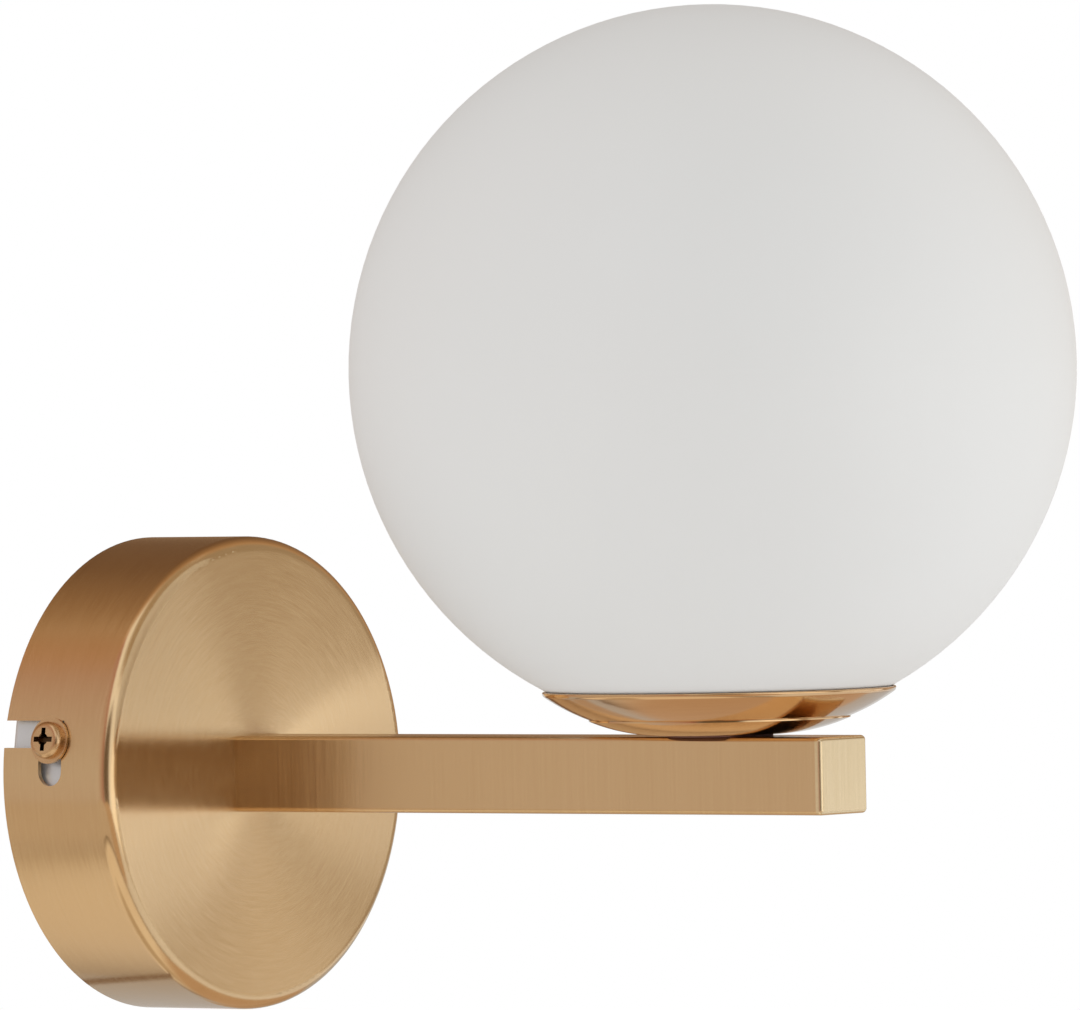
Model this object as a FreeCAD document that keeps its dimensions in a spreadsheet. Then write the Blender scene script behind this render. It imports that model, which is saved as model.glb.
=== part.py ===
import FreeCAD, Part
import math
import os
import re

import Sketcher

# Globe wall sconce, in millimetres.
# The origin is the canopy's axis on the wall plane: +X to the right, +Y into the wall, +Z up.
# Pieces on the canopy's axis are drawn with local x to the right, local y up and local z out of
# the wall. Pieces of the globe's tower are drawn upwards from the arm's top face.

SIZES = [
    # canopy and its bayonet slots
    ("canopy_d", 100, "canopy across"),
    ("canopy_deep", 28.5, "canopy, wall to front face"),
    ("canopy_wall", 1, "canopy sheet"),
    ("canopy_edge", 3, "radius round the canopy's front edge"),
    ("entry_up", 9.8, "height of the slot's entry above the axis"),
    ("entry_wide", 5.7, "width of the slot's entry"),
    ("leg_wide", 6.2, "width of the slot's leg"),
    ("leg_long", 7.95, "leg below the entry"),
    ("hole_gap", 0.15, "radial room round a thread in a plain hole"),
    ("fit_gap", 0.03, "radial room in a thread or a snug fit"),
    # wall bracket
    ("strap_wide", 20, "bracket strip width"),
    ("strap_thick", 1.2, "bracket strip thickness"),
    ("strap_bend", 0.3, "inside radius of the bracket's bends"),
    ("tab_long", 20, "how far the bracket's tabs stand out of the wall"),
    ("tab_gap", 0.3, "room between tab corners and canopy"),
    ("bracket_turn", 9.73, "degrees that the bracket's left end is turned up"),
    ("wall_pitch", 60, "distance between the wall screw holes"),
    ("wall_hole", 5, "wall screw hole across"),
    ("cable_hole", 15, "cable hole across"),
    ("earth_place", 17, "earth screw from the axis"),
    # canopy screws and the earth screw
    ("screw_out", 12.6, "canopy screws from the wall"),
    ("screw_d", 5, "canopy screw thread"),
    ("screw_long", 10, "canopy screw under its head"),
    ("flange_d", 9.8, "screw's washer flange across"),
    ("flange_thick", 0.6, "screw's washer flange"),
    ("head_d", 7.8, "screw's pan head across"),
    ("head_high", 2, "screw's head above its flange"),
    ("head_round", 1.4, "radius round the screw's head"),
    ("cross_wide", 1.1, "cross recess, width of a wing"),
    ("cross_long", 4.9, "cross recess, tip to tip"),
    ("cross_middle", 2.6, "cross recess, its round middle across"),
    ("cross_deep", 1.6, "cross recess depth"),
    ("head_gap", 0.1, "room between screw head and canopy"),
    ("earth_d", 4, "earth screw thread"),
    ("earth_short", 0.2, "earth screw ends this far inside the bracket's back"),
    ("earth_head_d", 7, "earth screw head across"),
    ("earth_head_high", 2.4, "earth screw head height"),
    ("earth_slot", 1, "earth screw's slot width"),
    ("cup_d", 9, "earth screw's cup washer across"),
    ("cup_thick", 0.8, "earth screw's cup washer"),
    # hollow threads, nuts and washers
    ("thread_d", 10, "hollow thread across"),
    ("bore_d", 8, "bore of the hollow thread"),
    ("nut_flats", 14, "nut across flats"),
    ("nut_thick", 4, "canopy nut"),
    ("thin_nut", 3, "nuts of the tower"),
    ("washer_d", 16, "washers across"),
    ("washer_thick", 0.8, "washers"),
    ("nipple_tail", 1, "thread beyond the canopy nut"),
    ("nipple_bite", 11, "thread in the arm's base block"),
    ("tower_tail", 0.5, "thread beyond the top nut"),
    # arm
    ("arm_side", 16, "square arm, height and width"),
    ("arm_wall", 1.2, "arm tube wall"),
    ("arm_edge", 1, "radius along the arm's edges"),
    ("arm_reach", 182.7, "wall to the arm's end face"),
    ("cap_thick", 1.5, "end cap"),
    ("cap_round", 0.9, "radius round the end face"),
    ("block_long", 14, "base block along the arm"),
    ("boss_long", 14, "boss along the arm"),
    ("boss_high", 4, "boss height"),
    ("block_gap", 0.1, "room between the blocks and the tube"),
    # globe
    ("globe_out", 151, "wall to the globe's axis"),
    ("globe_d", 150, "globe across"),
    ("globe_wall", 2.5, "opal glass"),
    ("mouth_d", 52.915, "globe's mouth, inside across"),
    ("lip_room", 0.21, "room between the dish's lip and the glass"),
    # dish
    ("spacer_d", 22, "spacer under the dish across"),
    ("spacer_thick", 0.3, "spacer"),
    ("dish_flat", 23, "flat middle of both dishes across"),
    ("lower_d", 54, "lower dish across"),
    ("lower_sweep", 39.5, "section radius of the lower dish"),
    ("lower_thick", 0.58, "lower dish in the middle"),
    ("upper_d", 73, "upper dish across"),
    ("upper_sweep", 43, "section radius of the upper dish"),
    ("dish_wall", 0.6, "upper dish sheet"),
    ("lip_round", 1, "radius where the upper dish turns up"),
    ("skin_gap", 0.02, "room between the two dishes"),
    # gasket, clip plate and clips
    ("gasket_inset", 0.25, "gasket inside the edges of the ground rim"),
    ("gasket_gap", 0.1, "room at the gasket's faces"),
    ("plate_d", 22.8, "clip plate across"),
    ("plate_thick", 0.8, "clip plate"),
    ("clip_wide", 6, "spring clip width"),
    ("clip_thick", 0.4, "spring clip strip"),
    ("clip_start", 8.7, "clip's inner end from the axis"),
    ("clip_shelf", 13, "end of the clip's level part from the axis"),
    ("clip_off", 0.37, "clip's heel above the dish"),
    ("clip_heel", 3.4, "clip's heel inside its knee"),
    ("clip_over", 1.4, "knee above the ground rim"),
    ("clip_gap", 0.25, "room between knee and glass"),
    ("clip_tail_in", 4, "tail's inward lean"),
    ("clip_tail_up", 5.5, "tail above the knee"),
    ("clip_bend", 1.2, "radius of the clip's bends"),
    ("rivet_place", 10.1, "rivets from the axis"),
    ("rivet_d", 1.6, "rivet shank"),
    ("rivet_head_d", 2.6, "rivet head across"),
    ("rivet_head_high", 0.5, "rivet head"),
    # lamp holder and its bracket
    ("holder_wide", 21, "ceramic holder, left to right"),
    ("holder_deep", 16, "ceramic holder, front to back"),
    ("holder_high", 22, "ceramic holder height"),
    ("holder_up", 6.4, "holder above the hollow thread"),
    ("holder_round", 2, "radius of the holder's upright edges"),
    ("recess_wide", 14, "recess for the bulb, left to right"),
    ("recess_deep", 8, "recess for the bulb, front to back"),
    ("recess_down", 6, "recess depth"),
    ("pin_pitch", 9, "distance between the bulb's pins"),
    ("pin_bore", 3.2, "bores for the contacts"),
    ("contact_d", 3, "contact sleeve outside"),
    ("contact_bore", 1.7, "contact sleeve inside"),
    ("contact_long", 11, "contact sleeve length"),
    ("contact_down", 0.5, "contact below the recess floor"),
    ("leg_thick", 1, "holder bracket sheet"),
    ("foot_wide", 12, "holder bracket width"),
    ("foot_gap", 0.1, "room between bracket and holder"),
    ("holder_leg", 8, "bracket legs beside the holder"),
    ("small_d", 3, "small screw thread"),
    ("small_head_d", 5.5, "small screw head across"),
    ("small_head_high", 1.8, "small screw head"),
    ("small_up", 4, "holder screws above the holder's base"),
    ("small_bite", 3, "holder screws in the ceramic"),
    # bulb
    ("pin_d", 1.5, "bulb pin"),
    ("pin_long", 9, "bulb pin length"),
    ("bulb_gap", 0.2, "room between bulb and recess"),
    ("bulb_d", 17, "bulb across"),
    ("collar_high", 6.5, "bulb's collar"),
    ("collar_up", 0.5, "collar above the holder"),
    ("cover_wall", 0.8, "bulb cover"),
    ("cover_high", 40, "bulb cover height"),
    ("core_d", 12, "LED core across"),
    ("core_high", 33, "LED core height"),
    # terminal block and its strap
    ("carrier_wide", 16, "terminal strap width"),
    ("carrier_thick", 1, "terminal strap"),
    ("carrier_down", 43, "terminal strap below the axis"),
    ("pole_pitch", 9, "distance between the block's poles"),
    ("block_top", 25, "terminal block below the axis"),
    ("block_high", 17, "terminal block height"),
    ("block_deep", 13, "terminal block depth"),
    ("tube_d", 4, "terminal tube outside"),
    ("tube_bore", 2.5, "terminal tube inside"),
    ("tube_short", 1, "tube ends inside the block"),
    ("clamp_d", 2.5, "clamp screw"),
    ("clamp_from_end", 4.5, "clamp screws from the block's ends"),
    ("clamp_sunk", 1, "clamp screws below the block's face"),
    # earth tag and leads
    ("tag_thick", 0.8, "earth tag"),
    ("tag_tongue", 4.4, "tag tongue width"),
    ("tag_reach", 13.5, "tag tongue below the axis"),
    ("barrel_d", 3.2, "tag barrel outside"),
    ("barrel_up", 10, "barrel's upper end below the axis"),
    ("barrel_long", 6, "barrel length"),
    ("lead_d", 2, "insulated lead"),
    ("lead_side", 2.2, "leads beside the axis"),
    ("lead_drop", 1.5, "leads below the canopy's axis"),
    ("lead_sag", 3, "leads' further drop along the arm"),
    ("lead_loop", 9, "leads' loop from the wall"),
    ("lead_bite", 5, "lead in a terminal"),
]

doc = FreeCAD.newDocument("globe_wall_sconce")
sheet = doc.addObject("Spreadsheet::Sheet", "sizes")
for row, (alias, value, note) in enumerate(SIZES, 1):
    sheet.set(f"A{row}", note)
    sheet.set(f"B{row}", str(value))
    sheet.setAlias(f"B{row}", alias)
doc.recompute()

UPRIGHT = FreeCAD.Rotation()
OUT_OF_WALL = FreeCAD.Rotation(FreeCAD.Vector(1, 0, 0), 90)

# Heights and distances that several pieces share, as expressions of the sheet.
CANOPY_R = "canopy_d / 2"
CANOPY_INSIDE = "(canopy_d / 2 - canopy_wall)"
CANOPY_BACK = "(canopy_deep - canopy_wall)"
TAG_OUT = "(canopy_deep - canopy_wall - carrier_thick)"
CANOPY_WASHER_OUT = f"({TAG_OUT} - tag_thick)"
CANOPY_NUT_OUT = f"({CANOPY_WASHER_OUT} - washer_thick)"
NIPPLE_START = f"({CANOPY_NUT_OUT} - nut_thick - nipple_tail)"
TAB_REACH = f"sqrt(({CANOPY_INSIDE} - tab_gap) ^ 2 - (strap_wide / 2) ^ 2)"
THREAD_HOLE = "(thread_d / 2 + hole_gap)"
TAPPED = "(thread_d / 2 + fit_gap)"
ARM_TOP = "arm_side / 2"
ARM_INSIDE = "(arm_side / 2 - arm_wall)"
LOWER_TOP = "(spacer_thick + lower_thick)"
UPPER_UNDER = f"({LOWER_TOP} + skin_gap)"
DISH_CENTRE_UP = f"({UPPER_UNDER} + upper_sweep)"
PLATE_UP = f"({UPPER_UNDER} + dish_wall)"
CLIP_UP = f"({PLATE_UP} + plate_thick)"
TOWER_NUT_UP = f"({CLIP_UP} + washer_thick)"
FOOT_UP = f"({TOWER_NUT_UP} + thin_nut)"
TOP_WASHER_UP = f"({FOOT_UP} + leg_thick)"
TOP_NUT_UP = f"({TOP_WASHER_UP} + washer_thick)"
NIPPLE_TOP = f"({TOP_NUT_UP} + thin_nut + tower_tail)"
HOLDER_BASE = f"({NIPPLE_TOP} + holder_up)"
HOLDER_TOP = f"({HOLDER_BASE} + holder_high)"
RECESS_FLOOR = f"({HOLDER_TOP} - recess_down)"
COLLAR_UP = f"({HOLDER_TOP} + collar_up)"
COVER_UP = f"({COLLAR_UP} + collar_high)"
LIP_LEAN = "((upper_d / 2 - lip_round - dish_flat / 2) / (upper_sweep - lip_round))"
LIP_DROP = f"sqrt(1 - {LIP_LEAN} ^ 2)"
LIP_UP = f"({DISH_CENTRE_UP} - (upper_sweep - lip_round) * {LIP_DROP})"
LIP_MIDDLE = "(upper_d / 2 - dish_wall / 2)"
GLOBE_UP = f"({LIP_UP} + sqrt((globe_d / 2 + lip_room + dish_wall / 2) ^ 2 - {LIP_MIDDLE} ^ 2))"
RIM_HOLE = "(mouth_d / 2)"
RIM_DROP = f"sqrt((globe_d / 2 - globe_wall) ^ 2 - {RIM_HOLE} ^ 2)"
RIM_OUTER = f"sqrt((globe_d / 2) ^ 2 - {RIM_DROP} ^ 2)"
RIM_UP = f"({GLOBE_UP} - {RIM_DROP})"
INSIDE_SWEEP = "(upper_sweep - dish_wall)"
LEG_INSIDE = "(holder_wide / 2 + foot_gap)"
POLE_OUT = f"({TAG_OUT} - block_deep / 2)"

PIECES = []


def bound(text):
    """The expression with each of its names read from the sheet."""
    return re.sub(r"\b[a-z][a-z0-9_]*\b(?!\()", lambda word: "sizes." + word.group(), text)


def size(text):
    """The number that an expression of the sheet gives."""
    return float(sheet.evalExpression(text))


def point(x, y, z):
    return FreeCAD.Vector(size(x), size(y), size(z))


def piece(thing, label):
    """Name a finished sub-part and keep it for the checks and the export."""
    thing.Label = label
    PIECES.append(thing)
    return thing


def seat(thing, x="0", y="0", z="0", turn=UPRIGHT):
    """Give a sub-part or a tool its place, bound to the sheet."""
    thing.Placement = FreeCAD.Placement(point(x, y, z), turn)
    for axis, place in zip("xyz", (x, y, z)):
        if place != "0":
            thing.setExpression(f"Placement.Base.{axis}", bound(place))
    return thing


def seat_on_tower(thing, up="0"):
    return seat(thing, "0", "-globe_out", f"{ARM_TOP} + {up}")


# ---- sketches -------------------------------------------------------------------------------


def pin_point(sketch, edge, end, x, y):
    """Hold a point of the sketch at an expression's place."""
    for kind, place, axis in (("DistanceX", x, -2), ("DistanceY", y, -1)):
        if place == "0":
            sketch.addConstraint(Sketcher.Constraint("PointOnObject", edge, end, axis))
            continue
        rule = sketch.addConstraint(Sketcher.Constraint(kind, -1, 1, edge, end, size(place)))
        sketch.setExpression(f"Constraints[{rule}]", bound(place))


def hold_radius(sketch, edge, radius):
    rule = sketch.addConstraint(Sketcher.Constraint("Radius", edge, size(radius)))
    sketch.setExpression(f"Constraints[{rule}]", bound(radius))


def draw_circle(sketch, x, y, radius):
    middle = FreeCAD.Vector(size(x), size(y), 0)
    circle = Part.Circle(middle, FreeCAD.Vector(0, 0, 1), size(radius))
    edge = sketch.addGeometry(circle, False)
    pin_point(sketch, edge, 3, x, y)
    hold_radius(sketch, edge, radius)


def arc_between(start, end, radius, centre_side):
    """A short arc, always drawn anticlockwise, with its centre to the left or right of travel."""
    side = 1 if centre_side == "left" else -1
    chord = end - start
    normal = FreeCAD.Vector(-chord.y, chord.x, 0).normalize() * side
    depth = math.sqrt(max(radius**2 - (chord.Length / 2) ** 2, 0))
    crown = (start + end) / 2 + normal * (depth - radius)
    ends = (start, end) if side == 1 else (end, start)
    return Part.Arc(ends[0], crown, ends[1])


def draw_outline(sketch, corners):
    """A closed outline. A corner with a radius and a side starts an arc to the next corner."""
    points = [FreeCAD.Vector(size(corner[0]), size(corner[1]), 0) for corner in corners]
    edges = []
    for index, corner in enumerate(corners):
        start = points[index]
        end = points[(index + 1) % len(corners)]
        if len(corner) == 2:
            edge = sketch.addGeometry(Part.LineSegment(start, end), False)
            edges.append((edge, 1, 2))
            continue
        arc = arc_between(start, end, size(corner[2]), corner[3])
        edge = sketch.addGeometry(arc, False)
        edges.append((edge, 1, 2) if corner[3] == "left" else (edge, 2, 1))
    for index, (edge, start, end) in enumerate(edges):
        following = edges[(index + 1) % len(edges)]
        sketch.addConstraint(Sketcher.Constraint("Coincident", edge, end, following[0], following[1]))
    for (edge, start, end), corner in zip(edges, corners):
        pin_point(sketch, edge, start, corner[0], corner[1])
        if len(corner) == 4:
            hold_radius(sketch, edge, corner[2])


def sketch_on(body, plane, name, outlines=(), circles=()):
    sketch = body.newObject("Sketcher::SketchObject", name)
    base = next(part for part in body.Origin.OriginFeatures if part.Role == plane)
    sketch.AttachmentSupport = [(base, "")]
    sketch.MapMode = "FlatFace"
    for corners in outlines:
        draw_outline(sketch, corners)
    for circle in circles:
        draw_circle(sketch, *circle)
    if sketch.solve() != 0:
        raise RuntimeError(f"sketch {name} has no solution")
    return sketch


def rectangle(left, right, low, high):
    return [(left, low), (right, low), (right, high), (left, high)]


def rounded_square(half, radius):
    """A square about the origin with rounded corners."""
    near = f"{half} - {radius}"
    return [
        (f"-({near})", f"-({half})"),
        (near, f"-({half})", radius, "left"),
        (half, f"-({near})"),
        (half, near, radius, "left"),
        (near, half),
        (f"-({near})", half, radius, "left"),
        (f"-({half})", near),
        (f"-({half})", f"-({near})", radius, "left"),
    ]


# ---- features -------------------------------------------------------------------------------


def new_body(name):
    return doc.addObject("PartDesign::Body", name)


def revolve(body, sketch, name, axis="V_Axis"):
    feature = body.newObject("PartDesign::Revolution", name)
    feature.Profile = sketch
    feature.ReferenceAxis = (sketch, [axis])
    feature.Angle = 360
    return feature


def groove(body, sketch, name, axis="V_Axis"):
    feature = body.newObject("PartDesign::Groove", name)
    feature.Profile = sketch
    feature.ReferenceAxis = (sketch, [axis])
    feature.Angle = 360
    return feature


def pad(body, sketch, name, length, both_ways=False):
    feature = body.newObject("PartDesign::Pad", name)
    feature.Profile = sketch
    feature.Length = size(length)
    feature.setExpression("Length", bound(length))
    feature.Midplane = both_ways
    return feature


def pocket(body, sketch, name, length, both_ways=False, other_way=False):
    """A pocket that must take something away, so the volume is compared."""
    doc.recompute()
    before = body.Shape.Volume
    feature = body.newObject("PartDesign::Pocket", name)
    feature.Profile = sketch
    feature.Length = size(length)
    feature.setExpression("Length", bound(length))
    feature.Midplane = both_ways
    feature.Reversed = other_way
    doc.recompute()
    if feature.Shape.Volume > before - 0.01:
        raise RuntimeError(f"pocket {name} cuts nothing")
    return feature


def polar(body, feature, name, count):
    """Repeat a feature round the body's own Z axis."""
    pattern = body.newObject("PartDesign::PolarPattern", name)
    pattern.Originals = [feature]
    axis = next(part for part in body.Origin.OriginFeatures if part.Role == "Z_Axis")
    pattern.Axis = (axis, [""])
    pattern.Angle = 360
    pattern.Occurrences = count
    body.Tip = pattern
    return pattern


def cylinder(radius, height, x="0", y="0", z="0", turn=UPRIGHT):
    tool = doc.addObject("Part::Cylinder", "round_tool")
    tool.Radius = size(radius)
    tool.Height = size(height)
    tool.setExpression("Radius", bound(radius))
    tool.setExpression("Height", bound(height))
    return seat(tool, x, y, z, turn)


def box(long, deep, high, x="0", y="0", z="0"):
    """A block centred on x and y that stands on z."""
    tool = doc.addObject("Part::Box", "square_tool")
    for side, length in (("Length", long), ("Width", deep), ("Height", high)):
        setattr(tool, side, size(length))
        tool.setExpression(side, bound(length))
    return seat(tool, f"{x} - ({long}) / 2", f"{y} - ({deep}) / 2", z)


def hexagon(across_flats, height):
    tool = doc.addObject("Part::Prism", "hex_tool")
    tool.Polygon = 6
    tool.Circumradius = size(f"{across_flats} / sqrt(3)")
    tool.Height = size(height)
    tool.setExpression("Circumradius", bound(f"{across_flats} / sqrt(3)"))
    tool.setExpression("Height", bound(height))
    return tool


def fuse(shapes, name="joined"):
    whole = doc.addObject("Part::MultiFuse", name)
    whole.Shapes = shapes
    return whole


def cut(base, tools, name="cut_piece"):
    result = doc.addObject("Part::Cut", name)
    result.Base = base
    result.Tool = tools[0] if len(tools) == 1 else fuse(tools, "tools")
    return result


def group(shapes, name):
    """Separate identical solids that share one node."""
    whole = doc.addObject("Part::Compound", name)
    whole.Links = shapes
    return whole


def ring(outer, inner, height, name="ring"):
    return cut(cylinder(outer, height), [cylinder(inner, height)], name)


def hex_nut(height, name):
    return cut(hexagon("nut_flats", height), [cylinder(TAPPED, height)], name)


# ---- wall bracket and its screws ------------------------------------------------------------


def turn_with_bracket(thing, extra=0):
    """Turn a piece about the canopy's axis, with the bracket."""
    angle = f"bracket_turn + {extra}"
    thing.Placement.Rotation = FreeCAD.Rotation(FreeCAD.Vector(0, 1, 0), size(angle))
    thing.setExpression("Placement.Rotation.Angle", bound(angle))


def make_wall_bracket():
    body = new_body("bracket_body")
    inner = f"({TAB_REACH} - strap_thick)"
    outer_bend = "(strap_bend + strap_thick)"
    profile = [
        (f"-({TAB_REACH} - {outer_bend})", "0"),
        (f"-{TAB_REACH}", f"-{outer_bend}"),
        (f"-{TAB_REACH}", "-tab_long"),
        (f"-{inner}", "-tab_long"),
        (f"-{inner}", f"-{outer_bend}", "strap_bend", "left"),
        (f"-({inner} - strap_bend)", "-strap_thick"),
        (f"{inner} - strap_bend", "-strap_thick", "strap_bend", "left"),
        (inner, f"-{outer_bend}"),
        (inner, "-tab_long"),
        (TAB_REACH, "-tab_long"),
        (TAB_REACH, f"-{outer_bend}", outer_bend, "left"),
        (f"{TAB_REACH} - {outer_bend}", "0"),
    ]
    profile[0] = (*profile[0], outer_bend, "left")
    strip = sketch_on(body, "XY_Plane", "bracket_profile", [profile])
    pad(body, strip, "bracket_strip", "strap_wide", both_ways=True)
    holes = [
        ("0", "0", "cable_hole / 2"),
        ("-wall_pitch / 2", "0", "wall_hole / 2"),
        ("wall_pitch / 2", "0", "wall_hole / 2"),
        ("earth_place", "0", "earth_d / 2 + fit_gap"),
    ]
    through = sketch_on(body, "XZ_Plane", "strap_holes", circles=holes)
    pocket(body, through, "strap_holes_cut", "strap_thick * 2 + 2", both_ways=True)
    tapped = [("-screw_out", "0", "screw_d / 2 + fit_gap")]
    sides = sketch_on(body, "YZ_Plane", "tab_holes", circles=tapped)
    pocket(body, sides, "tab_holes_cut", "canopy_d", both_ways=True)
    turn_with_bracket(body)
    piece(body, "wall_bracket")


def make_canopy_screw(label, extra_turn):
    """Pan head screw with a washer flange, drawn along -X with its axis on the X axis."""
    body = new_body("screw_body")
    under = f"({CANOPY_R} + head_gap)"
    top = f"({under} + flange_thick + head_high)"
    profile = [
        (f"-({under} - screw_long)", "0"),
        (f"-({under} - screw_long)", "screw_d / 2"),
        (f"-{under}", "screw_d / 2"),
        (f"-{under}", "flange_d / 2"),
        (f"-({under} + flange_thick)", "flange_d / 2"),
        (f"-({under} + flange_thick)", "head_d / 2"),
        (f"-({top} - head_round)", "head_d / 2", "head_round", "left"),
        (f"-{top}", "head_d / 2 - head_round"),
        (f"-{top}", "0"),
    ]
    outline = sketch_on(body, "XY_Plane", "screw_profile", [profile])
    revolve(body, outline, "screw_turned", "H_Axis")
    recess = sketch_on(
        body,
        "XY_Plane",
        "cross_level",
        [rectangle(f"-({top} + 1)", f"-({top} - cross_deep)", "-cross_long / 2", "cross_long / 2")],
    )
    pocket(body, recess, "cross_level_cut", "cross_wide", both_ways=True)
    upright = sketch_on(
        body,
        "XZ_Plane",
        "cross_upright",
        [rectangle(f"-({top} + 1)", f"-({top} - cross_deep)", "-cross_long / 2", "cross_long / 2")],
    )
    pocket(body, upright, "cross_upright_cut", "cross_wide", both_ways=True)
    cone = [
        (f"-{top}", "0"),
        (f"-{top}", "cross_middle / 2"),
        (f"-({top} - cross_deep)", "cross_wide / 2"),
        (f"-({top} - cross_deep)", "0"),
    ]
    middle = sketch_on(body, "XY_Plane", "cross_cone", [cone])
    groove(body, middle, "cross_cone_cut", "H_Axis")
    seat(body, "0", "-screw_out", "0")
    turn_with_bracket(body, extra_turn)
    piece(body, label)


def make_earth_screw():
    under = "(strap_thick + cup_thick)"
    shank = cylinder("earth_d / 2", f"{under} - earth_short", z="earth_short")
    head = cylinder("earth_head_d / 2", "earth_head_high", z=under)
    slot = box("earth_head_d + 1", "earth_slot", "earth_head_high / 2",
               z=f"{under} + earth_head_high / 2")
    screw = cut(fuse([shank, head]), [slot], "earth_screw_piece")
    washer = ring("cup_d / 2", "earth_d / 2 + hole_gap", "cup_thick", "earth_washer_piece")
    turned = FreeCAD.Rotation(FreeCAD.Vector(0, 1, 0), size("bracket_turn")).multiply(OUT_OF_WALL)
    x = "earth_place * cos(bracket_turn)"
    z = "-earth_place * sin(bracket_turn)"
    seat(screw, x, "0", z, turned)
    seat(washer, x, "-strap_thick", z, turned)
    piece(screw, "earth_screw")
    piece(washer, "earth_washer")


# ---- canopy and what its nut clamps ---------------------------------------------------------


def make_canopy():
    body = new_body("canopy_body")
    inner_edge = "(canopy_edge - canopy_wall)"
    profile = [
        (CANOPY_R, "0"),
        (CANOPY_R, "canopy_deep - canopy_edge", "canopy_edge", "left"),
        (f"{CANOPY_R} - canopy_edge", "canopy_deep"),
        (THREAD_HOLE, "canopy_deep"),
        (THREAD_HOLE, CANOPY_BACK),
        (f"{CANOPY_R} - canopy_edge", CANOPY_BACK, inner_edge, "right"),
        (CANOPY_INSIDE, "canopy_deep - canopy_edge"),
        (CANOPY_INSIDE, "0"),
    ]
    outline = sketch_on(body, "XZ_Plane", "canopy_profile", [profile])
    revolve(body, outline, "canopy_spun")
    entry_low = "(entry_up - entry_wide / 2)"
    entry_high = "(entry_up + entry_wide / 2)"
    leg_back = "(screw_out - leg_wide / 2)"
    leg_front = "(screw_out + leg_wide / 2)"
    leg_centre = f"({entry_low} - leg_long + leg_wide / 2)"
    slot = [
        (entry_high, "-canopy_wall"),
        (entry_high, leg_front),
        (leg_centre, leg_front, "leg_wide / 2", "left"),
        (f"{leg_centre} - leg_wide / 2", "screw_out", "leg_wide / 2", "left"),
        (leg_centre, leg_back),
        (entry_low, leg_back),
        (entry_low, "-canopy_wall"),
    ]
    left = sketch_on(body, "YZ_Plane", "slot_outline", [slot])
    first = pocket(body, left, "slot_cut", f"{CANOPY_R} + 1")
    polar(body, first, "both_slots", 2)
    seat(body, turn=OUT_OF_WALL)
    piece(body, "canopy")


def make_terminal_strap():
    body = new_body("strap_body")
    half = "carrier_wide / 2"
    outline = [
        (f"-{half}", "-carrier_down"),
        (half, "-carrier_down"),
        (half, "0", half, "left"),
        ("0", half, half, "left"),
        (f"-{half}", "0"),
    ]
    holes = [
        ("0", "0", THREAD_HOLE),
        ("pole_pitch / 2", "-(block_top + block_high / 2)", "small_d / 2 + fit_gap"),
    ]
    flat = sketch_on(body, "XY_Plane", "strap_outline", [outline], holes)
    pad(body, flat, "strap_sheet", "carrier_thick")
    seat(body, y=f"-{TAG_OUT}", turn=OUT_OF_WALL)
    piece(body, "terminal_strap")


def make_earth_tag():
    disc = cylinder("washer_d / 2", "tag_thick")
    tongue = box("tag_tongue", "tag_reach", "tag_thick", y="-tag_reach / 2")
    standing = FreeCAD.Rotation(FreeCAD.Vector(1, 0, 0), 90)
    low = "-(barrel_d / 2 - tag_thick / 2)"
    barrel = cylinder("barrel_d / 2", "barrel_long", y="-barrel_up", z=low, turn=standing)
    hole = cylinder(THREAD_HOLE, "tag_thick")
    bore = cylinder("lead_d / 2 + fit_gap", "barrel_long", y="-barrel_up", z=low, turn=standing)
    tag = cut(fuse([disc, tongue, barrel]), [hole, bore], "tag_piece")
    seat(tag, y=f"-{CANOPY_WASHER_OUT}", turn=OUT_OF_WALL)
    piece(tag, "earth_tag")


def make_canopy_fixing():
    washer = ring("washer_d / 2", THREAD_HOLE, "washer_thick", "canopy_washer_piece")
    seat(washer, y=f"-{CANOPY_NUT_OUT}", turn=OUT_OF_WALL)
    piece(washer, "canopy_washer")
    nut = hex_nut("nut_thick", "canopy_nut_piece")
    seat(nut, y=f"-({CANOPY_NUT_OUT} - nut_thick)", turn=OUT_OF_WALL)
    piece(nut, "canopy_nut")
    length = f"canopy_deep + nipple_bite - {NIPPLE_START}"
    nipple = ring("thread_d / 2", "bore_d / 2", length, "canopy_nipple_piece")
    seat(nipple, y=f"-{NIPPLE_START}", turn=OUT_OF_WALL)
    piece(nipple, "canopy_nipple")


# ---- terminal block -------------------------------------------------------------------------

POLES = ("-pole_pitch", "0", "pole_pitch")
BLOCK_LOW = "(block_top + block_high)"
BLOCK_FACE = f"({TAG_OUT} - block_deep)"
CLAMP_HEIGHTS = ("-(block_top + clamp_from_end)", f"-({BLOCK_LOW} - clamp_from_end)")
CLAMP_END = f"({POLE_OUT} - lead_d / 2 - fit_gap)"
DOWN_THE_BLOCK = FreeCAD.Rotation(FreeCAD.Vector(1, 0, 0), 90)


def make_terminal_block():
    middle = "-(block_top + block_high / 2)"
    block = box("3 * pole_pitch", "block_high", "block_deep", y=middle, z=BLOCK_FACE)
    tools = [cylinder("small_d / 2 + hole_gap", "block_deep", "pole_pitch / 2", middle, BLOCK_FACE)]
    for pole in POLES:
        tools.append(cylinder("tube_d / 2 + fit_gap", "block_high", pole, "-block_top", POLE_OUT,
                              DOWN_THE_BLOCK))
        for height in CLAMP_HEIGHTS:
            tools.append(cylinder("clamp_d / 2 + hole_gap", "block_deep / 2", pole, height,
                                  BLOCK_FACE))
    body = cut(block, tools, "block_piece")
    seat(body, turn=OUT_OF_WALL)
    piece(body, "terminal_block")


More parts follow.
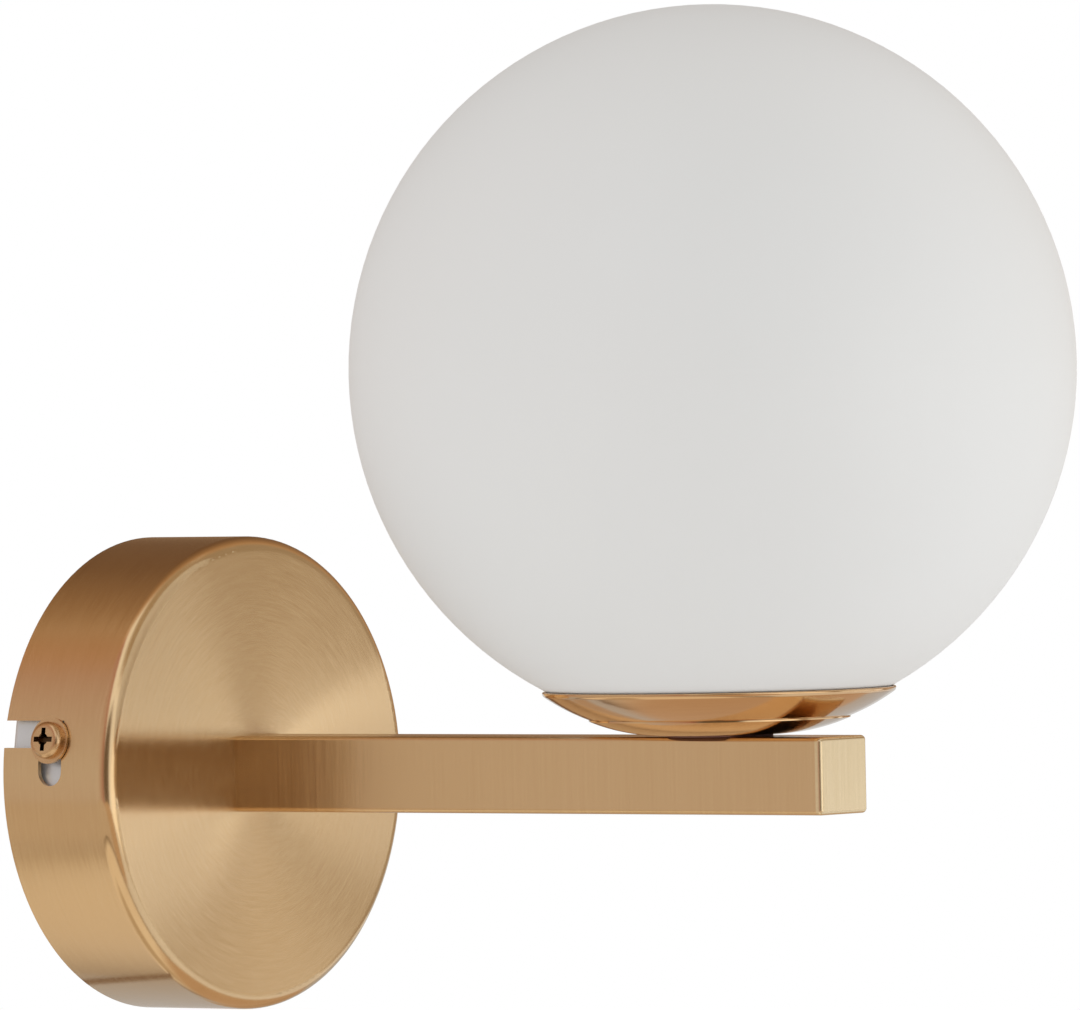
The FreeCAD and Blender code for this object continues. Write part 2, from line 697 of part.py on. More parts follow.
def make_terminal_tubes():
    tubes = []
    length = "block_high - 2 * tube_short"
    for pole in POLES:
        start = "-(block_top + tube_short)"
        outer = cylinder("tube_d / 2", length, pole, start, POLE_OUT, DOWN_THE_BLOCK)
        tools = [cylinder("tube_bore / 2", length, pole, start, POLE_OUT, DOWN_THE_BLOCK)]
        for height in CLAMP_HEIGHTS:
            tools.append(cylinder("clamp_d / 2 + fit_gap", "tube_d / 2", pole, height,
                                  f"{POLE_OUT} - tube_d / 2"))
        tubes.append(cut(outer, tools, "tube_piece"))
    whole = group(tubes, "tube_group")
    seat(whole, turn=OUT_OF_WALL)
    piece(whole, "terminal_tubes")


def make_terminal_screws():
    start = f"({BLOCK_FACE} + clamp_sunk)"
    screws = [
        cylinder("clamp_d / 2", f"{CLAMP_END} - {start}", pole, height, start)
        for pole in POLES
        for height in CLAMP_HEIGHTS
    ]
    whole = group(screws, "clamp_group")
    seat(whole, turn=OUT_OF_WALL)
    piece(whole, "terminal_screws")
    shank = cylinder("small_d / 2", "block_deep + carrier_thick")
    head = cylinder("small_head_d / 2", "small_head_high", z="-small_head_high")
    fixing = fuse([shank, head], "block_screw_piece")
    seat(fixing, "pole_pitch / 2", f"-{BLOCK_FACE}", "-(block_top + block_high / 2)", OUT_OF_WALL)
    piece(fixing, "terminal_block_screw")


# ---- arm ------------------------------------------------------------------------------------


def make_arm_tube():
    body = new_body("arm_body")
    outside = rounded_square("arm_side / 2", "arm_edge")
    inside = rectangle(*[f"{sign}{ARM_INSIDE}" for sign in ("-", "", "-", "")])
    section = sketch_on(body, "XY_Plane", "arm_section", [outside, inside])
    pad(body, section, "arm_drawn", "arm_reach - cap_thick - canopy_deep")
    opening = [("0", "globe_out - canopy_deep", THREAD_HOLE)]
    top = sketch_on(body, "XZ_Plane", "nipple_hole", circles=opening)
    pocket(body, top, "nipple_hole_cut", "arm_side / 2 + 1")
    seat(body, y="-canopy_deep", turn=OUT_OF_WALL)
    piece(body, "arm_tube")


def make_arm_end_cap():
    body = new_body("cap_body")
    section = sketch_on(body, "XY_Plane", "cap_section", [rounded_square("arm_side / 2", "arm_edge")])
    plate = pad(body, section, "cap_plate", "cap_thick")
    doc.recompute()
    front = [
        f"Edge{number}"
        for number, edge in enumerate(plate.Shape.Edges, 1)
        if edge.BoundBox.ZMin > size("cap_thick") - 0.01
    ]
    rounding = body.newObject("PartDesign::Fillet", "cap_rounding")
    rounding.Base = (plate, front)
    rounding.Radius = size("cap_round")
    rounding.setExpression("Radius", bound("cap_round"))
    body.Tip = rounding
    seat(body, y="-(arm_reach - cap_thick)", turn=OUT_OF_WALL)
    piece(body, "arm_end_cap")


def make_arm_blocks():
    side = f"2 * ({ARM_INSIDE} - block_gap)"
    block = cut(box(side, side, "block_long"), [cylinder(TAPPED, "block_long")], "base_piece")
    seat(block, y="-canopy_deep", turn=OUT_OF_WALL)
    piece(block, "arm_base_block")
    boss = cut(box(side, "boss_long", "boss_high"), [cylinder(TAPPED, "boss_high")], "boss_piece")
    seat_on_tower(boss, "(-arm_wall - boss_high)")
    piece(boss, "arm_boss")


# ---- dish, gasket and clips -----------------------------------------------------------------


def make_dish_spacer():
    spacer = ring("spacer_d / 2", THREAD_HOLE, "spacer_thick", "spacer_piece")
    piece(seat_on_tower(spacer), "dish_spacer")


def sweep_height(radius, sweep, centre_up):
    """Height of a dish's curved section at a distance from the axis."""
    return f"({centre_up} - sqrt(({sweep}) ^ 2 - (({radius}) - dish_flat / 2) ^ 2))"


def make_lower_dish():
    body = new_body("lower_dish_body")
    edge = "lower_d / 2"
    nested = "(upper_sweep + skin_gap)"
    under_edge = sweep_height(edge, "lower_sweep", "(spacer_thick + lower_sweep)")
    over_edge = sweep_height(edge, nested, DISH_CENTRE_UP)
    profile = [
        (THREAD_HOLE, "spacer_thick"),
        ("dish_flat / 2", "spacer_thick", "lower_sweep", "left"),
        (edge, under_edge),
        (edge, over_edge, nested, "right"),
        ("dish_flat / 2", LOWER_TOP),
        (THREAD_HOLE, LOWER_TOP),
    ]
    outline = sketch_on(body, "XZ_Plane", "lower_dish_profile", [profile])
    revolve(body, outline, "lower_dish_turned")
    piece(seat_on_tower(body), "lower_dish")


def make_upper_dish():
    """The section's sweep ends where a small radius turns it up into the lip."""
    body = new_body("upper_dish_body")
    profile = [
        (THREAD_HOLE, UPPER_UNDER),
        ("dish_flat / 2", UPPER_UNDER, "upper_sweep", "left"),
        (f"dish_flat / 2 + upper_sweep * {LIP_LEAN}",
         f"{DISH_CENTRE_UP} - upper_sweep * {LIP_DROP}", "lip_round", "left"),
        ("upper_d / 2", LIP_UP, "dish_wall / 2", "left"),
        (LIP_MIDDLE, f"{LIP_UP} + dish_wall / 2", "dish_wall / 2", "left"),
        ("upper_d / 2 - dish_wall", LIP_UP, "lip_round - dish_wall", "right"),
        (f"dish_flat / 2 + {INSIDE_SWEEP} * {LIP_LEAN}",
         f"{DISH_CENTRE_UP} - {INSIDE_SWEEP} * {LIP_DROP}", INSIDE_SWEEP, "right"),
        ("dish_flat / 2", PLATE_UP),
        (THREAD_HOLE, PLATE_UP),
    ]
    outline = sketch_on(body, "XZ_Plane", "upper_dish_profile", [profile])
    revolve(body, outline, "upper_dish_spun")
    piece(seat_on_tower(body), "upper_dish")


def make_gasket():
    body = new_body("gasket_body")
    sweep = f"({INSIDE_SWEEP} - gasket_gap)"
    top = f"({RIM_UP} - gasket_gap)"
    inner = f"({RIM_HOLE} + gasket_inset)"
    outer = f"({RIM_OUTER} - gasket_inset)"
    profile = [
        (inner, sweep_height(inner, sweep, DISH_CENTRE_UP), sweep, "left"),
        (outer, sweep_height(outer, sweep, DISH_CENTRE_UP)),
        (outer, top),
        (inner, top),
    ]
    outline = sketch_on(body, "XZ_Plane", "gasket_profile", [profile])
    revolve(body, outline, "gasket_moulded")
    piece(seat_on_tower(body), "globe_gasket")


def make_clip_plate():
    body = new_body("plate_body")
    profile = rectangle(THREAD_HOLE, "plate_d / 2", PLATE_UP, CLIP_UP)
    outline = sketch_on(body, "XZ_Plane", "plate_profile", [profile])
    revolve(body, outline, "plate_blank")
    hole = sketch_on(body, "XY_Plane", "rivet_hole", circles=[("rivet_place", "0", "rivet_d / 2 + fit_gap")])
    first = pocket(body, hole, "rivet_hole_cut", CLIP_UP, other_way=True)
    polar(body, first, "rivet_holes", 3)
    seat_on_tower(body)
    body.Placement.Rotation = CLIP_TURN
    piece(body, "clip_plate")


CLIP_TURN = FreeCAD.Rotation(FreeCAD.Vector(0, 0, 1), 90)


def rounded_path(corners, radius):
    """Straight runs joined by tangent arcs of up to the given radius."""
    edges = []
    last = corners[0]
    for before, corner, after in zip(corners, corners[1:], corners[2:]):
        back = (before - corner).normalize()
        ahead = (after - corner).normalize()
        half_turn = (math.pi - back.getAngle(ahead)) / 2
        shorter = min((before - corner).Length, (after - corner).Length)
        bend = min(radius, 0.45 * shorter / math.tan(half_turn))
        reach = bend * math.tan(half_turn)
        start = corner + back * reach
        end = corner + ahead * reach
        crown_way = (back + ahead).normalize()
        crown = corner + crown_way * (bend / math.cos(half_turn) - bend)
        edges.append(Part.LineSegment(last, start).toShape())
        edges.append(Part.Arc(start, crown, end).toShape())
        last = end
    edges.append(Part.LineSegment(last, corners[-1]).toShape())
    return Part.Wire(edges)


def clip_shape():
    """One sprung strip: level on the plate, along the dish, up to its knee and in again."""
    heel_place = f"({RIM_HOLE} - clip_gap - clip_heel)"
    heel = size(heel_place)
    knee = size(f"{RIM_HOLE} - clip_gap")
    level = size(CLIP_UP)
    low = size(sweep_height(heel_place, INSIDE_SWEEP, DISH_CENTRE_UP) + " + clip_off")
    knee_up = size(f"{RIM_UP} + clip_over")
    corners = [
        FreeCAD.Vector(size("clip_start"), 0, level),
        FreeCAD.Vector(size("clip_shelf"), 0, level),
        FreeCAD.Vector(heel, 0, low),
        FreeCAD.Vector(knee, 0, knee_up),
        FreeCAD.Vector(knee - size("clip_tail_in"), 0, knee_up + size("clip_tail_up")),
    ]
    path = rounded_path(corners, size("clip_bend"))
    thick = size("clip_thick")
    band = path.makeOffset2D(thick, 0, True, True, False)
    if band.BoundBox.ZMin < level - thick / 2:
        band = path.makeOffset2D(-thick, 0, True, True, False)
    width = size("clip_wide")
    strip = band.extrude(FreeCAD.Vector(0, width, 0))
    strip.translate(FreeCAD.Vector(0, -width / 2, 0))
    hole = Part.makeCylinder(size("rivet_d / 2 + fit_gap"), 4 * thick)
    hole.translate(FreeCAD.Vector(size("rivet_place"), 0, level - thick))
    return strip.cut(hole)


def make_clips():
    for number in range(3):
        turn = FreeCAD.Rotation(FreeCAD.Vector(0, 0, 1), 120 * number).multiply(CLIP_TURN)
        clip = doc.addObject("Part::Feature", f"clip_strip_{number + 1}")
        clip.Shape = clip_shape()
        clip.Placement = FreeCAD.Placement(point("0", "-globe_out", ARM_TOP), turn)
        piece(clip, f"glass_clip_{number + 1}")


def make_clip_rivets():
    rivets = []
    for number in range(3):
        shank = cylinder("rivet_d / 2", "plate_thick + clip_thick")
        head = cylinder("rivet_head_d / 2", "rivet_head_high", z="plate_thick + clip_thick")
        rivet = fuse([shank, head], "rivet_piece")
        angle = f"{90 + 120 * number}"
        seat(rivet, f"rivet_place * cos({angle})", f"rivet_place * sin({angle})", PLATE_UP)
        rivets.append(rivet)
    piece(seat_on_tower(group(rivets, "rivet_group")), "clip_rivets")


# ---- globe ----------------------------------------------------------------------------------


def make_glass_globe():
    """A blown ball cut flat at the bottom, drawn about its own centre."""
    body = new_body("globe_body")
    outer = "globe_d / 2"
    inner = "(globe_d / 2 - globe_wall)"
    profile = [
        (RIM_HOLE, f"-{RIM_DROP}"),
        (RIM_OUTER, f"-{RIM_DROP}", outer, "left"),
        (outer, "0", outer, "left"),
        ("0", outer),
        ("0", inner, inner, "right"),
        (inner, "0", inner, "right"),
    ]
    outline = sketch_on(body, "XZ_Plane", "globe_profile", [profile])
    revolve(body, outline, "globe_blown")
    piece(seat_on_tower(body, GLOBE_UP), "glass_globe")


# ---- lamp holder ----------------------------------------------------------------------------


def make_tower_fixings():
    length = f"{NIPPLE_TOP} + arm_wall + boss_high"
    nipple = ring("thread_d / 2", "bore_d / 2", length, "holder_nipple_piece")
    piece(seat_on_tower(nipple, "(-arm_wall - boss_high)"), "holder_nipple")
    for label, up in (("dish_washer", CLIP_UP), ("holder_washer", TOP_WASHER_UP)):
        washer = ring("washer_d / 2", THREAD_HOLE, "washer_thick", f"{label}_piece")
        piece(seat_on_tower(washer, up), label)
    for label, up in (("dish_nut", TOWER_NUT_UP), ("holder_nut", TOP_NUT_UP)):
        nut = hex_nut("thin_nut", f"{label}_piece")
        piece(seat_on_tower(nut, up), label)


def make_holder_bracket():
    body = new_body("holder_bracket_body")
    outside = f"({LEG_INSIDE} + leg_thick)"
    top = f"({HOLDER_BASE} + holder_leg)"
    profile = [
        (f"-{outside}", FOOT_UP),
        (outside, FOOT_UP),
        (outside, top),
        (LEG_INSIDE, top),
        (LEG_INSIDE, TOP_WASHER_UP),
        (f"-{LEG_INSIDE}", TOP_WASHER_UP),
        (f"-{LEG_INSIDE}", top),
        (f"-{outside}", top),
    ]
    outline = sketch_on(body, "XZ_Plane", "holder_bracket_profile", [profile])
    pad(body, outline, "holder_bracket_strip", "foot_wide", both_ways=True)
    foot = sketch_on(body, "XY_Plane", "foot_hole", circles=[("0", "0", THREAD_HOLE)])
    pocket(body, foot, "foot_hole_cut", TOP_WASHER_UP, other_way=True)
    place = f"({HOLDER_BASE} + small_up)"
    sides = sketch_on(body, "YZ_Plane", "leg_holes", circles=[("0", place, "small_d / 2 + hole_gap")])
    pocket(body, sides, "leg_holes_cut", f"2 * {outside} + 2", both_ways=True)
    piece(seat_on_tower(body), "holder_bracket")


def make_lamp_holder():
    body = new_body("holder_body")
    wide = "holder_wide / 2"
    deep = "holder_deep / 2"
    section = [
        (f"-({wide} - holder_round)", f"-{deep}"),
        (f"{wide} - holder_round", f"-{deep}", "holder_round", "left"),
        (wide, f"-({deep} - holder_round)"),
        (wide, f"{deep} - holder_round", "holder_round", "left"),
        (f"{wide} - holder_round", deep),
        (f"-({wide} - holder_round)", deep, "holder_round", "left"),
        (f"-{wide}", f"{deep} - holder_round"),
        (f"-{wide}", f"-({deep} - holder_round)", "holder_round", "left"),
    ]
    outline = sketch_on(body, "XY_Plane", "holder_section", [section])
    pad(body, outline, "holder_block", "holder_high")
    bores = [(f"{side}pin_pitch / 2", "0", "pin_bore / 2") for side in ("-", "")]
    pins = sketch_on(body, "XY_Plane", "pin_bores", circles=bores)
    pocket(body, pins, "pin_bores_cut", "holder_high", other_way=True)
    mouth = rectangle("-recess_wide / 2", "recess_wide / 2", "holder_high - recess_down", "holder_high + 1")
    recess = sketch_on(body, "XZ_Plane", "recess_outline", [mouth])
    pocket(body, recess, "recess_cut", "recess_deep", both_ways=True)
    for side, other_way in (("left", False), ("right", True)):
        hole = ("0", "small_up", "small_d / 2 + fit_gap")
        start = sketch_on(body, "YZ_Plane", f"{side}_tapping", circles=[hole])
        tapping = pocket(body, start, f"{side}_tapping_cut", wide, other_way=other_way)
        tapping.Type = "Length"
    piece(seat_on_tower(body, HOLDER_BASE), "lamp_holder")


def make_holder_contacts():
    start = "(holder_high - recess_down - contact_down - contact_long)"
    sleeves = []
    for side in ("-", ""):
        place = f"{side}pin_pitch / 2"
        outer = cylinder("contact_d / 2", "contact_long", place, z=start)
        bore = cylinder("contact_bore / 2", "contact_long", place, z=start)
        sleeves.append(cut(outer, [bore], "sleeve_piece"))
    piece(seat_on_tower(group(sleeves, "sleeve_group"), HOLDER_BASE), "holder_contacts")


def make_holder_screws():
    screws = []
    outside = f"({LEG_INSIDE} + leg_thick)"
    for side, quarter in (("-", -90), ("", 90)):
        way = FreeCAD.Rotation(FreeCAD.Vector(0, 1, 0), quarter)
        tip = f"{side}(holder_wide / 2 - small_bite)"
        length = f"{outside} - (holder_wide / 2 - small_bite)"
        shank = cylinder("small_d / 2", length, tip, z="small_up", turn=way)
        head = cylinder("small_head_d / 2", "small_head_high", f"{side}{outside}", z="small_up", turn=way)
        screws.append(fuse([shank, head], "holder_screw_piece"))
    piece(seat_on_tower(group(screws, "holder_screw_group"), HOLDER_BASE), "holder_screws")


# ---- bulb -----------------------------------------------------------------------------------


def make_bulb():
    lug_low = f"({RECESS_FLOOR} + bulb_gap)"
    lug_high = f"{COLLAR_UP} - {lug_low}"
    lug = box("recess_wide - 2 * bulb_gap", "recess_deep - 2 * bulb_gap", lug_high, z=lug_low)
    collar = cylinder("bulb_d / 2", "collar_high", z=COLLAR_UP)
    piece(seat_on_tower(fuse([lug, collar], "bulb_base_piece")), "bulb_base")
    pins = [
        cylinder("pin_d / 2", "pin_long", f"{side}pin_pitch / 2", z=f"{lug_low} - pin_long")
        for side in ("-", "")
    ]
    piece(seat_on_tower(group(pins, "pin_group")), "bulb_pins")
    core = cylinder("core_d / 2", "core_high", z=COVER_UP)
    core_top = doc.addObject("Part::Sphere", "core_top")
    core_top.Radius = size("core_d / 2")
    core_top.setExpression("Radius", bound("core_d / 2"))
    seat(core_top, z=f"{COVER_UP} + core_high")
    above = box("core_d", "core_d", "core_d", z=f"{COVER_UP} + core_high + core_d / 4")
    whole_core = cut(fuse([core, core_top]), [above], "core_piece")
    piece(seat_on_tower(whole_core), "led_core")


def make_bulb_cover():
    body = new_body("cover_body")
    outer = "bulb_d / 2"
    inner = "(bulb_d / 2 - cover_wall)"
    shoulder = f"({COVER_UP} + cover_high - {outer})"
    profile = [
        (inner, COVER_UP),
        (outer, COVER_UP),
        (outer, shoulder, outer, "left"),
        ("0", f"{COVER_UP} + cover_high"),
        ("0", f"{COVER_UP} + cover_high - cover_wall", inner, "right"),
        (inner, shoulder),
    ]
    outline = sketch_on(body, "XZ_Plane", "cover_profile", [profile])
    revolve(body, outline, "cover_moulded")
    piece(seat_on_tower(body), "bulb_cover")


# ---- leads ----------------------------------------------------------------------------------


def lead_solid(corners, bend):
    path = rounded_path(corners, bend)
    start = corners[0]
    radius = size("lead_d / 2")
    section = Part.Wire(Part.Circle(start, corners[1] - start, radius).toShape())
    solid = path.makePipeShell([section], True, False)
    expected = math.pi * radius**2 * path.Length
    if abs(solid.Volume - expected) > 0.02 * expected:
        raise RuntimeError("a lead's volume is not its section times its length")
    arcs = [edge.Curve.Radius for edge in path.Edges if hasattr(edge.Curve, "Radius")]
    print("lead", round(path.Length, 1), "mm long, bends", [round(arc, 1) for arc in arcs])
    return solid


def make_long_lead(label, side):
    """From the terminal block, looped into the arm, along it and up to the lamp holder."""
    top = size(ARM_TOP)
    out = size("globe_out")
    beside = side * size("lead_side")
    low = -size("lead_drop")
    loop = size("lead_loop")
    pole = side * size("pole_pitch")
    pole_out = size(POLE_OUT)
    entry = -size("block_top")
    contact = side * size("pin_pitch / 2")
    nipple_top = top + size(NIPPLE_TOP)
    contact_low = top + size(f"{HOLDER_BASE} + holder_high - recess_down - contact_down - contact_long")
    corners = [
        FreeCAD.Vector(pole, -pole_out, entry - size("lead_bite")),
        FreeCAD.Vector(pole, -pole_out, entry / 2 - loop),
        FreeCAD.Vector((pole + beside) / 2, -loop, low - 1.25 * loop),
        FreeCAD.Vector(beside, -loop, low),
        FreeCAD.Vector(beside, -size("canopy_deep + block_long"), low),
        FreeCAD.Vector(beside, -out, low - size("lead_sag")),
        FreeCAD.Vector(beside, -out, nipple_top + 1),
        FreeCAD.Vector(contact, -out, nipple_top + size("holder_up") - 1),
        FreeCAD.Vector(contact, -out, contact_low),
    ]
    lead = doc.addObject("Part::Feature", f"{label}_sweep")
    lead.Shape = lead_solid(corners, size("lead_d") * 3.25)
    piece(lead, label)


def make_earth_lead():
    barrel_out = size(f"{CANOPY_WASHER_OUT} + tag_thick / 2 - barrel_d / 2")
    pole_out = size(POLE_OUT)
    barrel_end = -size("barrel_up + barrel_long")
    entry = -size("block_top")
    corners = [
        FreeCAD.Vector(0, -barrel_out, barrel_end + size("lead_bite")),
        FreeCAD.Vector(0, -barrel_out, barrel_end - size("lead_d")),
        FreeCAD.Vector(0, -pole_out, entry + size("lead_d")),
        FreeCAD.Vector(0, -pole_out, entry - size("lead_bite")),
    ]
    lead = doc.addObject("Part::Feature", "earth_lead_sweep")
    lead.Shape = lead_solid(corners, size("lead_d") * 3)
    piece(lead, "earth_lead")


# ---- the whole sconce -----------------------------------------------------------------------

make_wall_bracket()
make_canopy_screw("canopy_screw_left", 0)
make_canopy_screw("canopy_screw_right", 180)
make_earth_screw()
make_canopy()
make_terminal_strap()
make_earth_tag()
make_canopy_fixing()
make_terminal_block()
make_terminal_tubes()
make_terminal_screws()
make_arm_tube()
make_arm_end_cap()
make_arm_blocks()
make_dish_spacer()
make_lower_dish()
make_upper_dish()
make_gasket()
make_clip_plate()
make_clips()
make_clip_rivets()
make_glass_globe()
make_tower_fixings()
make_holder_bracket()
make_lamp_holder()
make_holder_contacts()
make_holder_screws()
make_bulb()
make_bulb_cover()
make_long_lead("live_lead", -1)
make_long_lead("neutral_lead", 1)
make_earth_lead()

doc.recompute()
failed = [thing.Label for thing in doc.Objects if {"Invalid", "Error"} & set(thing.State)]
if failed:
    raise RuntimeError(f"objects that did not build: {failed}")
for thing in PIECES:
    if thing.Shape.isNull() or not thing.Shape.isValid():
        raise RuntimeError(f"{thing.Label} has no valid shape")

os.makedirs("parts", exist_ok=True)
for thing in PIECES:
    thing.Shape.exportStep(f"parts/{thing.Label}.step")
print(len(PIECES), "pieces")
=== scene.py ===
# %% [markdown]
# # A globe wall sconce, dressed for its picture
# The lamp is a round brass canopy, a square brass arm and an opal globe on a shallow two-tier dish.
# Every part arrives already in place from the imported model, in metres: +X to the right, +Y into the
# wall, +Z up. This notebook gives each part its finish and lights the whole the way a catalogue
# photographer would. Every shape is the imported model's own, so no piece is added here.

import math

import bmesh
import bpy
from mathutils import Matrix, Vector

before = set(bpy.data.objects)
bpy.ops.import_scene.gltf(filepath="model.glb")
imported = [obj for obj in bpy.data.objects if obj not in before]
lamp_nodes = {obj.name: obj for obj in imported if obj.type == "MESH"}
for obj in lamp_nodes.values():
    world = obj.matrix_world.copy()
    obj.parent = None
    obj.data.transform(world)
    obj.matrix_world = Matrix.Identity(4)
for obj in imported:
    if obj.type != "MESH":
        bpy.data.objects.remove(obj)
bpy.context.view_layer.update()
scene = bpy.context.scene
MM = 0.001


def corners_of(name):
    """The corner points of a part's mesh."""
    return [corner.co for corner in lamp_nodes[name].data.vertices]


# %% [markdown]
# ## The camera
# The picture was taken from far away with a long lens, almost level with the globe and from the
# lamp's left, so the round canopy looks like a narrow ellipse and parallel edges stay parallel.
# A camera close by with a wide lens would show the same parts but bend their proportions. The
# place below came from matching the outlines of canopy, arm and globe with the photo's.

# %% Camera
AROUND = math.radians(-52.12)
ABOVE = math.radians(0.717)
TILT = math.radians(-1.172)
LOOKS_AT = Vector((58.158, -60.0, 55.036)) * MM
CAMERA_AWAY = 2.9897
SENSOR_MM = 36
LENS_MM = 467.3

# Right and up are first taken level, and then turned together by the tilt.
level_right = Vector((math.cos(AROUND), math.sin(AROUND), 0))
back = Vector((math.sin(AROUND), -math.cos(AROUND), 0)) * math.cos(ABOVE)
back.z = math.sin(ABOVE)
level_up = back.cross(level_right)
right = level_right * math.cos(TILT) + level_up * math.sin(TILT)
up = level_up * math.cos(TILT) - level_right * math.sin(TILT)

camera_data = bpy.data.cameras.new("photo_camera")
camera_data.sensor_width = SENSOR_MM
camera_data.lens = LENS_MM
camera = bpy.data.objects.new("photo_camera", camera_data)
scene.collection.objects.link(camera)
turned = Matrix((right, up, back)).transposed().to_4x4()
camera.matrix_world = Matrix.Translation(LOOKS_AT + back * CAMERA_AWAY) @ turned
scene.camera = camera
scene.view_settings.view_transform = "Standard"
print("camera", [round(value, 3) for value in camera.matrix_world.translation])


# %% [markdown]
# ## Small helpers for finishes
# A finish here is a node tree around one Principled shader. The same few joints come back in every
# one: a new material, a node with its inputs set, a link. Writing them out each time would bury the
# brass and the glass under wiring, so they are written once. A value that is the same all over the
# part is set on the shader itself.

# %% Finish helpers


def new_finish(name):
    """A material with only its Principled shader and output, its node tree, and that shader."""
    material = bpy.data.materials.new(name)
    material.use_nodes = True
    tree = material.node_tree
    return material, tree, tree.nodes["Principled BSDF"]


def feed(tree, node, inputs):
    """Give a node its inputs: a socket is linked, and anything else is set as a value."""
    for name, value in inputs.items():
        if isinstance(value, bpy.types.NodeSocket):
            tree.links.new(value, node.inputs[name])
        else:
            node.inputs[name].default_value = value


def add(tree, kind, inputs=None, **settings):
    """A new node with its settings and inputs."""
    node = tree.nodes.new(kind)
    for name, value in settings.items():
        setattr(node, name, value)
    feed(tree, node, inputs or {})
    return node


print("helpers for node trees are ready")


# %% [markdown]
# ## Sums and colours in a node tree
# Node trees do their sums with nodes, one sum in each. These helpers give each kind of sum a short
# name, so that a finish below reads like a recipe. Sizes in them are metres, as on the lamp.

# %% Sums and colours


def math_node(tree, operation, first, second=0.0, third=0.0):
    """One sum on up to three numbers."""
    node = add(tree, "ShaderNodeMath", {0: first, 1: second, 2: third}, operation=operation)
    return node.outputs[0]


def spread(tree, value, low, high, from_low=0.0, from_high=1.0, curve="LINEAR"):
    """The value moved from one range into another, and kept inside it."""
    ranges = {"From Min": from_low, "From Max": from_high, "To Min": low, "To Max": high}
    node = add(tree, "ShaderNodeMapRange", {"Value": value, **ranges}, interpolation_type=curve)
    return node.outputs["Result"]


def vector_of(tree, x=0.0, y=0.0, z=0.0):
    """A vector made of three numbers."""
    return add(tree, "ShaderNodeCombineXYZ", {0: x, 1: y, 2: z}).outputs[0]


def axes_of(tree, vector):
    """The X, Y and Z of a vector."""
    return tuple(add(tree, "ShaderNodeSeparateXYZ", {0: vector}).outputs)


def length_of(tree, vector):
    """How long a vector is."""
    return add(tree, "ShaderNodeVectorMath", {0: vector}, operation="LENGTH").outputs["Value"]


def place_on_lamp(tree):
    """The point that is being shaded, in the lamp's own metres."""
    return add(tree, "ShaderNodeTexCoord").outputs["Object"]


def as_colour(colour):
    """Three numbers made an opaque colour; a socket stays a socket."""
    return colour if isinstance(colour, bpy.types.NodeSocket) else (*colour, 1)


def two_colours(tree, share, first, second):
    """A mix of two colours, by a share from 0 to 1."""
    inputs = {0: share, 6: as_colour(first), 7: as_colour(second)}
    return add(tree, "ShaderNodeMix", inputs, data_type="RGBA").outputs[2]


def noise(tree, vector, scale, detail=2.0, roughness=0.5):
    """A cloudy pattern from 0 to 1, with scale spots to the metre."""
    inputs = {"Vector": vector, "Scale": scale, "Detail": detail, "Roughness": roughness}
    return add(tree, "ShaderNodeTexNoise", inputs).outputs["Fac"]


def bump(tree, height, strength, depth):
    """A relief so many metres deep, by a height from 0 to 1."""
    inputs = {"Height": height, "Strength": strength, "Distance": depth}
    return add(tree, "ShaderNodeBump", inputs).outputs["Normal"]


print("helpers for sums and colours are ready")


# %% [markdown]
# ## Brushed brass
# The canopy is spun from sheet and brushed on the lathe, so its fine scratches run round the axis.
# Such a surface mirrors sharply along the scratches and smears across them, and that makes the
# fans of light on its face. Painting fans into a picture would freeze them. An anisotropic
# shader, stretched across the scratches, makes them from whatever stands around the lamp, in any
# view. The scratches themselves are a noise drawn out along them, in colour, gloss and relief.

# %% Brushed brass
BRASS = ((0.70, 0.48, 0.25), (0.775, 0.555, 0.31))
LACQUER = {"Coat Weight": 0.6, "Coat Roughness": 0.12}
SCRATCH_DEPTH = 0.02 * MM
CLOUDS_PER_METRE = 28.0
CLOUD_SHARE = 0.3
GLOSS_SPREAD = 0.05
RUBBED_GLOSS = 0.14


def brushed_brass(tree, shader, streak, rough, stretch, relief, colours=BRASS, rubbed=None):
    """Streaks in colour, gloss and relief, under a thin clear lacquer.

    rubbed is a share, from 0 to 1, of places that handling has made nearly mirror-like."""
    lines = noise(tree, streak, 1.0, 4.0, 0.7)
    cloud = noise(tree, place_on_lamp(tree), CLOUDS_PER_METRE)
    line_part = math_node(tree, "MULTIPLY", lines, 1 - CLOUD_SHARE)
    mixed = math_node(tree, "MULTIPLY_ADD", cloud, CLOUD_SHARE, line_part)
    colour_share = spread(tree, mixed, 0.0, 1.0, 0.3, 0.7)
    gloss = spread(tree, mixed, rough - GLOSS_SPREAD, rough + GLOSS_SPREAD, 0.2, 0.8)
    height = lines
    if rubbed is not None:
        too_rough = math_node(tree, "SUBTRACT", gloss, RUBBED_GLOSS)
        gloss = math_node(tree, "SUBTRACT", gloss, math_node(tree, "MULTIPLY", too_rough, rubbed))
        height = math_node(tree, "MULTIPLY", lines, math_node(tree, "SUBTRACT", 1.0, rubbed))
    colour = two_colours(tree, colour_share, *colours)
    normal = bump(tree, height, relief, SCRATCH_DEPTH)
    feed(tree, shader, {"Base Color": colour, "Roughness": gloss, "Normal": normal})
    feed(tree, shader, {"Metallic": 1.0, "Anisotropic": stretch, **LACQUER})


print("brass between", *BRASS)


# %% [markdown]
# ## Scratches that run round an axis
# On the lathe a tool touches the metal while it turns, so each scratch is an arc round the axis.
# A plain noise has no such way. This pattern is read with the distance from the axis as its fast
# coordinate and the way round as its slow one, so its spots stretch into arcs by themselves. The
# shader's tangent runs round the same axis, and a quarter turn puts the stretch across the arcs.

# %% Scratches round an axis
QUARTER_TURN = 0.25


